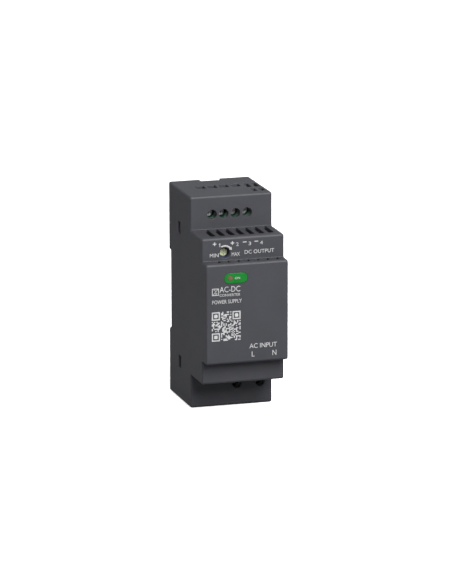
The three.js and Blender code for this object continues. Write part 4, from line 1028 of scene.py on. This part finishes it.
CAN_RIM, CAN_FOOT, CAN_STAND, CAN_LEAD = 0.5 * mm, 0.3 * mm, 0.6 * mm, 2.54 * mm
LEAD_SINK = 0.1 * mm  # how far a lead runs into its body
DISC_LEAD, DISC_RIM = 2.5 * mm, 0.3 * mm
SKIRT_RADII = (0.32 * mm, 0.5 * mm, 0.75 * mm, 0.9 * mm)  # lacquer that has run down a wire
SKIRT_STEPS = np.array([-0.2, 0.3, 1.2, 2.2]) * mm
GROOVE_START, GROOVE_LENGTH, GROOVE_DIP = 2.2, 1.4, 0.5 * mm
SHOULDER, TOP_RIM, TOP_RECESS = 0.6 * mm, 1.0 * mm, 0.2 * mm
SCORE_REACH, SCORE_WIDTH, SCORE_DEPTH = 0.62, 0.25 * mm, 0.35 * mm


def can_on_leads(node, name, material, slot):
    """A round moulded can that stands a little off the board on two leads, with a rounded rim."""
    at, radius, foot, front = round_place(node)
    back = foot + CAN_STAND
    bend = np.linspace(0, np.pi / 2, 6)
    radii = [radius - CAN_FOOT, radius, *(radius - CAN_RIM * (1 - np.cos(bend)))]
    stations = [back, back + CAN_FOOT, *(front - CAN_RIM * (1 - np.sin(bend)))]
    can = carried([disc_outline(at.x, at.z, r) for r in radii], stations, "forwards")
    leads = [lead(at.x + side * CAN_LEAD, at.z, foot, back + LEAD_SINK) for side in (-1, 1)]
    piece = closed_piece(name, can, *leads)
    fitted(piece, material, "case", slot, node)
    bare_leads(piece, back - HAIR)


def box_on_leads(node, name, material, slot, stand, places, corner=0.3 * mm):
    """A moulded box that stands off the board on leads at the given places along it."""
    low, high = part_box(node)
    at = (low + high) / 2
    leads = [lead(at.x + x, at.z, ON_BOARD, stand - high.y + LEAD_SINK, PIN_RADIUS) for x in places]
    body_high = high - Vector((0, stand, 0))
    piece = closed_piece(name, moulded_body(low, body_high, corner, 0.3 * mm), *leads)
    fitted(piece, material, "case", slot, node)
    bare_leads(piece, -body_high.y - HAIR)


def coated_disc(node, name, material, slot):
    """A disc dipped in lacquer, standing on two wires: circles across its thickness whose radius falls off
    as the fourth root of one less the fourth power of the distance from the middle."""
    low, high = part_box(node)
    at, radius = (low + high) / 2, (high.x - low.x) / 2
    centre_y = low.y + radius
    share = np.sin(np.linspace(-np.pi / 2, np.pi / 2, 15)) * 0.999
    radii = radius * (1 - share**4) ** 0.25
    rings = [disc_outline(at.x, centre_y, max(r, DISC_RIM), 40) for r in radii]
    disc = carried(rings, at.z + share * (high.z - low.z) / 2, "upwards")
    wires, skirts = [], []
    for side in (-1, 1):
        x = at.x + side * DISC_LEAD
        wires.append(lead(x, at.z, ON_BOARD, -centre_y))
        cone = [disc_outline(x, at.z, r, 16) for r in SKIRT_RADII]
        skirts.append(carried(cone, -centre_y - radius + SKIRT_STEPS, "forwards"))
    piece = closed_piece(name, disc, *wires, *skirts)
    fitted(piece, material, "case", slot, node)
    bare_leads(piece, -centre_y - radius - LEAD_SINK)


def electrolytic(node, name):
    """A sleeved aluminium can: a rubber-sealed foot, a rolled groove, the sleeve with a rolled shoulder, and
    a bare top with two crossed pressure scores."""
    at, radius, back, front = round_place(node)
    groove = np.linspace(0, np.pi, 9)
    shoulder = np.linspace(0, np.pi / 2, 6)
    profile = [(radius - 0.5 * mm, back), (radius - 0.12 * mm, back + 0.15 * mm), (radius, back + 0.5 * mm)]
    for g in groove:
        station = back + (GROOVE_START + g / np.pi * GROOVE_LENGTH) * mm
        profile.append((radius - GROOVE_DIP * math.sin(g), station))
    for a in shoulder:
        profile.append((radius - SHOULDER * (1 - math.cos(a)), front - SHOULDER * (1 - math.sin(a))))
    profile += [(radius - TOP_RIM, front), (radius - TOP_RIM - 0.15 * mm, front - TOP_RECESS)]
    piece = turned(name, at.x, at.z, profile)
    reach = radius * SCORE_REACH
    scores = cross_outline(at.x, at.z, reach, reach, SCORE_WIDTH)
    cut_away(piece, slab(scores, front - SCORE_DEPTH, front + PAST))
    fitted(piece, can_sleeve, "case", "can_sleeve", node)
    bare = radius - TOP_RIM - 0.05 * mm

    def is_top(centre):
        """Whether a face's centre is near the axis and close to the front."""
        near = np.hypot(centre[:, 0] - at.x, centre[:, 2] - at.z) < bare
        return near & (-centre[:, 1] > front - 0.5 * mm)

    second_finish(piece, can_aluminium, is_top)


can_sleeve = grained(
    "can_sleeve", (0.010, 0.013, 0.022), (0.014, 0.018, 0.030), (0.22, 0.36), 0.4 * mm, 0.005 * mm,
    patch=8 * mm, coat=0.3,
)
can_aluminium = grained(
    "can_aluminium", (0.55, 0.55, 0.56), (0.64, 0.64, 0.64), (0.28, 0.42), 0.25 * mm, 0.004 * mm, metal=1.0
)
film_yellow = grained(
    "film_yellow", (0.52, 0.30, 0.025), (0.60, 0.37, 0.040), (0.3, 0.45), 0.35 * mm, 0.006 * mm, patch=5 * mm
)
disc_blue = grained(
    "disc_blue", (0.012, 0.055, 0.26), (0.020, 0.080, 0.34), (0.25, 0.4), 0.6 * mm, 0.012 * mm, coat=0.4
)
disc_green = grained(
    "disc_green", (0.012, 0.075, 0.035), (0.020, 0.100, 0.050), (0.3, 0.45), 0.6 * mm, 0.012 * mm, coat=0.3
)
ferrite_grey = grained(
    "ferrite_grey", (0.016, 0.016, 0.018), (0.026, 0.026, 0.028), (0.5, 0.72), 0.25 * mm, 0.012 * mm,
    patch=3 * mm,
)
enamel_copper = grained(
    "enamel_copper", (0.42, 0.12, 0.035), (0.56, 0.19, 0.060), (0.2, 0.34), 0.3 * mm, 0.003 * mm, metal=1.0,
    patch=2 * mm, coat=0.6,
)
can_on_leads("input_fuse", "input_fuse_can", black_epoxy, "black_moulding")
FILM_LEADS = (-5 * mm, 5 * mm)
box_on_leads("x_capacitor", "x_capacitor_box", film_yellow, "film_yellow", 0.5 * mm, FILM_LEADS)
coated_disc("varistor", "varistor_disc", disc_blue, "disc_blue")
coated_disc("thermistor", "thermistor_disc", disc_green, "disc_green")
coated_disc("y_capacitor", "y_capacitor_disc", disc_blue, "disc_blue")
BRIDGE_LEADS = [-5.08 * mm, -1.7 * mm, 1.7 * mm, 5.08 * mm]
box_on_leads(
    "bridge_rectifier", "bridge_rectifier_block", black_epoxy, "black_moulding", 0.0, BRIDGE_LEADS, 0.5 * mm
)
electrolytic("bulk_capacitor", "bulk_capacitor_can")

CHOKE, CHOKE_LOW = middle("choke_core"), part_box("choke_core")[0]
CORE_RADIUS, CORE_HALF_WIDE = 5.0 * mm, 0.8 * mm
CORE_HALF_TALL = -(CHOKE_LOW.y - CHOKE.y)
COIL_WIRE, COIL_TURNS, COIL_GAP = 0.4 * mm, 10, 0.42  # wire radius, turns, angle left bare at each end


def ring_path(angle, section, wide, tall):
    """Points on a flattened tube round the choke: the angle goes round the ring and the section angle goes
    round the tube, whose cross-section is a superellipse with exponent three."""
    cos, sin = np.cos(section), np.sin(section)
    out = CORE_RADIUS + wide * np.sign(cos) * np.abs(cos) ** (2 / 3)
    forwards = -CHOKE.y + tall * np.sign(sin) * np.abs(sin) ** (2 / 3)
    axes = (CHOKE.x + out * np.cos(angle), -forwards, CHOKE.z + out * np.sin(angle))
    return np.stack(np.broadcast_arrays(*axes), -1)


def coil_rings(side):
    """One winding: the section angle makes ten turns while the ring angle crosses one half of the ring."""
    turns = np.linspace(0, COIL_TURNS, COIL_TURNS * 32 + 1)
    section = 2 * np.pi * turns - np.pi / 2
    angle = (turns / COIL_TURNS - 0.5) * (np.pi - 2 * COIL_GAP) + (0 if side > 0 else np.pi)
    wide, tall = CORE_HALF_WIDE + 1.12 * COIL_WIRE, CORE_HALF_TALL + 1.12 * COIL_WIRE
    path = ring_path(angle, section, wide, tall)
    across, up = np.cos(section), np.sin(section)
    outwards = np.stack([across * np.cos(angle), -up, across * np.sin(angle)], 1)
    foot = np.array([[0, -ON_BOARD - path[0, 1], 0]])
    path = np.concatenate([path[:1] + foot, path, path[-1:] + foot])
    outwards = np.concatenate([outwards[:1], outwards, outwards[-1:]])
    for rows, end in (((0, 1), angle[0]), ((-2, -1), angle[-1])):
        outwards[list(rows)] = (math.cos(end), 0, math.sin(end))
    return wire_rings(path, outwards, COIL_WIRE, 8)


around_ring = np.linspace(0, 2 * np.pi, 64, endpoint=False)[:, None]
round_section = np.linspace(0, 2 * np.pi, 28, endpoint=False)[None, ::-1]
core_rings = ring_path(around_ring, round_section, CORE_HALF_WIDE, CORE_HALF_TALL)
core = closed_piece("choke_core_ring", core_rings, looped=True)
fitted(core, ferrite_grey, "case", "ferrite", "choke_core")
for side, pole in ((1, "line"), (-1, "neutral")):
    winding = closed_piece(f"choke_coil_{pole}", coil_rings(side))
    fitted(winding, enamel_copper, "case", "copper_wire", f"choke_winding_{pole}")


# ---- Converter and output side -----------------------------------------------------------------------
# Two power devices are screwed to aluminium plates, one on each side of the transformer with its ferrite
# core and taped winding. A coupler, a drum choke and a sleeved capacitor stand beside them.

DEVICE_BACK, DEVICE_FRONT = 11.25 * mm, 20.25 * mm
PAN_HEIGHT, PAN_EDGE, PAN_DOME = 1.8 * mm, 0.1 * mm, 1.7 * mm
SINK_SHANK, SINK_THREAD = 1.2 * mm, 0.05 * mm
RECESS_HALF, RECESS_WIDTH, RECESS_DEPTH = 1.2 * mm, 0.5 * mm, 1.1 * mm
DRUM_EDGE, DRUM_FOOT, DRUM_HEAD, DRUM_DIP = 0.15 * mm, 1.3 * mm, 1.2 * mm, 0.3 * mm
WOUND_BACK, WOUND_FRONT, RIDGE_PITCH, RIDGE_HEIGHT = 1.6 * mm, 1.4 * mm, 0.5 * mm, 0.1 * mm
COUPLER_LEADS = (-2.2 * mm, 2.2 * mm)
sink_aluminium = grained(
    "sink_aluminium", (0.50, 0.50, 0.51), (0.60, 0.60, 0.61), (0.32, 0.5), 0.2 * mm, 0.006 * mm, metal=1.0,
    patch=5 * mm, stretch=(8, 1, 1),
)
bobbin_brown = grained(
    "bobbin_brown", (0.030, 0.017, 0.010), (0.042, 0.024, 0.014), (0.4, 0.55), 0.3 * mm, 0.006 * mm
)
winding_tape = grained(
    "winding_tape", (0.60, 0.38, 0.055), (0.68, 0.45, 0.085), (0.25, 0.4), 0.35 * mm, 0.01 * mm,
    patch=4 * mm, stretch=(6, 6, 1), coat=0.3,
)


def sink_screw(node):
    """A pan-head screw whose axis runs up the case: circles carried upwards, whose radius ripples with the
    cosine of the height in pitches along the shank and follows a quarter circle over the domed head. A
    cross recess is cut in the head."""
    low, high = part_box(node)
    at, head = (low + high) / 2, (high.x - low.x) / 2
    under = high.z - PAN_HEIGHT
    shank = np.arange(low.z, under, THREAD_PITCH / 4)
    dome = np.linspace(0, np.pi / 2, 7)
    ripple = SINK_SHANK + SINK_THREAD * np.cos(2 * np.pi * (shank - low.z) / THREAD_PITCH)
    radii = np.concatenate([ripple, [head - PAN_EDGE], head * (0.35 + 0.65 * np.cos(dome))])
    heights = np.concatenate([shank, [under], under + PAN_EDGE + PAN_DOME * np.sin(dome)])
    rings = [disc_outline(at.x, at.y, radius, 32) for radius in radii]
    piece = closed_piece(node + "_pan_head", carried(rings, heights, "upwards"))
    recess = cross_outline(at.x, at.y, RECESS_HALF, RECESS_HALF, RECESS_WIDTH)
    cut_away(piece, slab(recess, high.z - RECESS_DEPTH, high.z + PAST, "upwards"))
    fitted(piece, zinc_steel, "case", "screw_steel", node)


def is_leg_or_tab(centre):
    """Whether a face's centre is behind the device's black body or in front of it."""
    return (-centre[:, 1] < DEVICE_BACK - 0.1 * mm) | (-centre[:, 1] > DEVICE_FRONT + 0.1 * mm)


for prefix, device in (("primary", "switching_transistor"), ("secondary", "output_rectifier")):
    sink = prefix + "_heatsink"
    carried_over(sink, sink + "_plate", 0.15 * mm, sink_aluminium, "sink_aluminium")
    package = carried_over(device, device + "_package", 0.18 * mm, black_epoxy, "black_moulding")
    second_finish(package, tin_lead, is_leg_or_tab)
    sink_screw(sink + "_screw")

carried_over("transformer_core", "ferrite_core", 0.25 * mm, ferrite_grey, "ferrite")
carried_over("transformer_bobbin", "bobbin_moulding", 0.12 * mm, bobbin_brown, "bobbin_brown")
carried_over("transformer_winding", "taped_winding", 0.5 * mm, winding_tape, "winding_tape")
box_on_leads("optocoupler", "optocoupler_package", black_epoxy, "black_moulding", 0.6 * mm, COUPLER_LEADS)
electrolytic("output_capacitor", "output_capacitor_can")

# The drum choke: two ferrite flanges, and between them wire ridges that follow the size of a cosine.
drum_at, flange, drum_back, drum_front = round_place("output_inductor")
wound = np.linspace(drum_back + WOUND_BACK, drum_front - WOUND_FRONT, 61)
ridges = RIDGE_HEIGHT * np.abs(np.cos(np.pi * (wound - wound[0]) / RIDGE_PITCH))
drum = [
    (flange - DRUM_EDGE, drum_back),
    (flange, drum_back + DRUM_EDGE),
    (flange, drum_back + DRUM_FOOT),
    *zip(flange - DRUM_DIP - ridges, wound),
    (flange, drum_front - DRUM_HEAD),
    (flange, drum_front - DRUM_EDGE),
    (flange - DRUM_EDGE, drum_front),
]
inductor = turned("output_inductor_drum", drum_at.x, drum_at.z, drum)
fitted(inductor, ferrite_grey, "case", "ferrite", "output_inductor")


def is_wire(centre):
    """Whether a face's centre lies between the drum's flanges, where the wire is."""
    return (-centre[:, 1] > wound[0]) & (-centre[:, 1] < wound[-1])


second_finish(inductor, enamel_copper, is_wire)
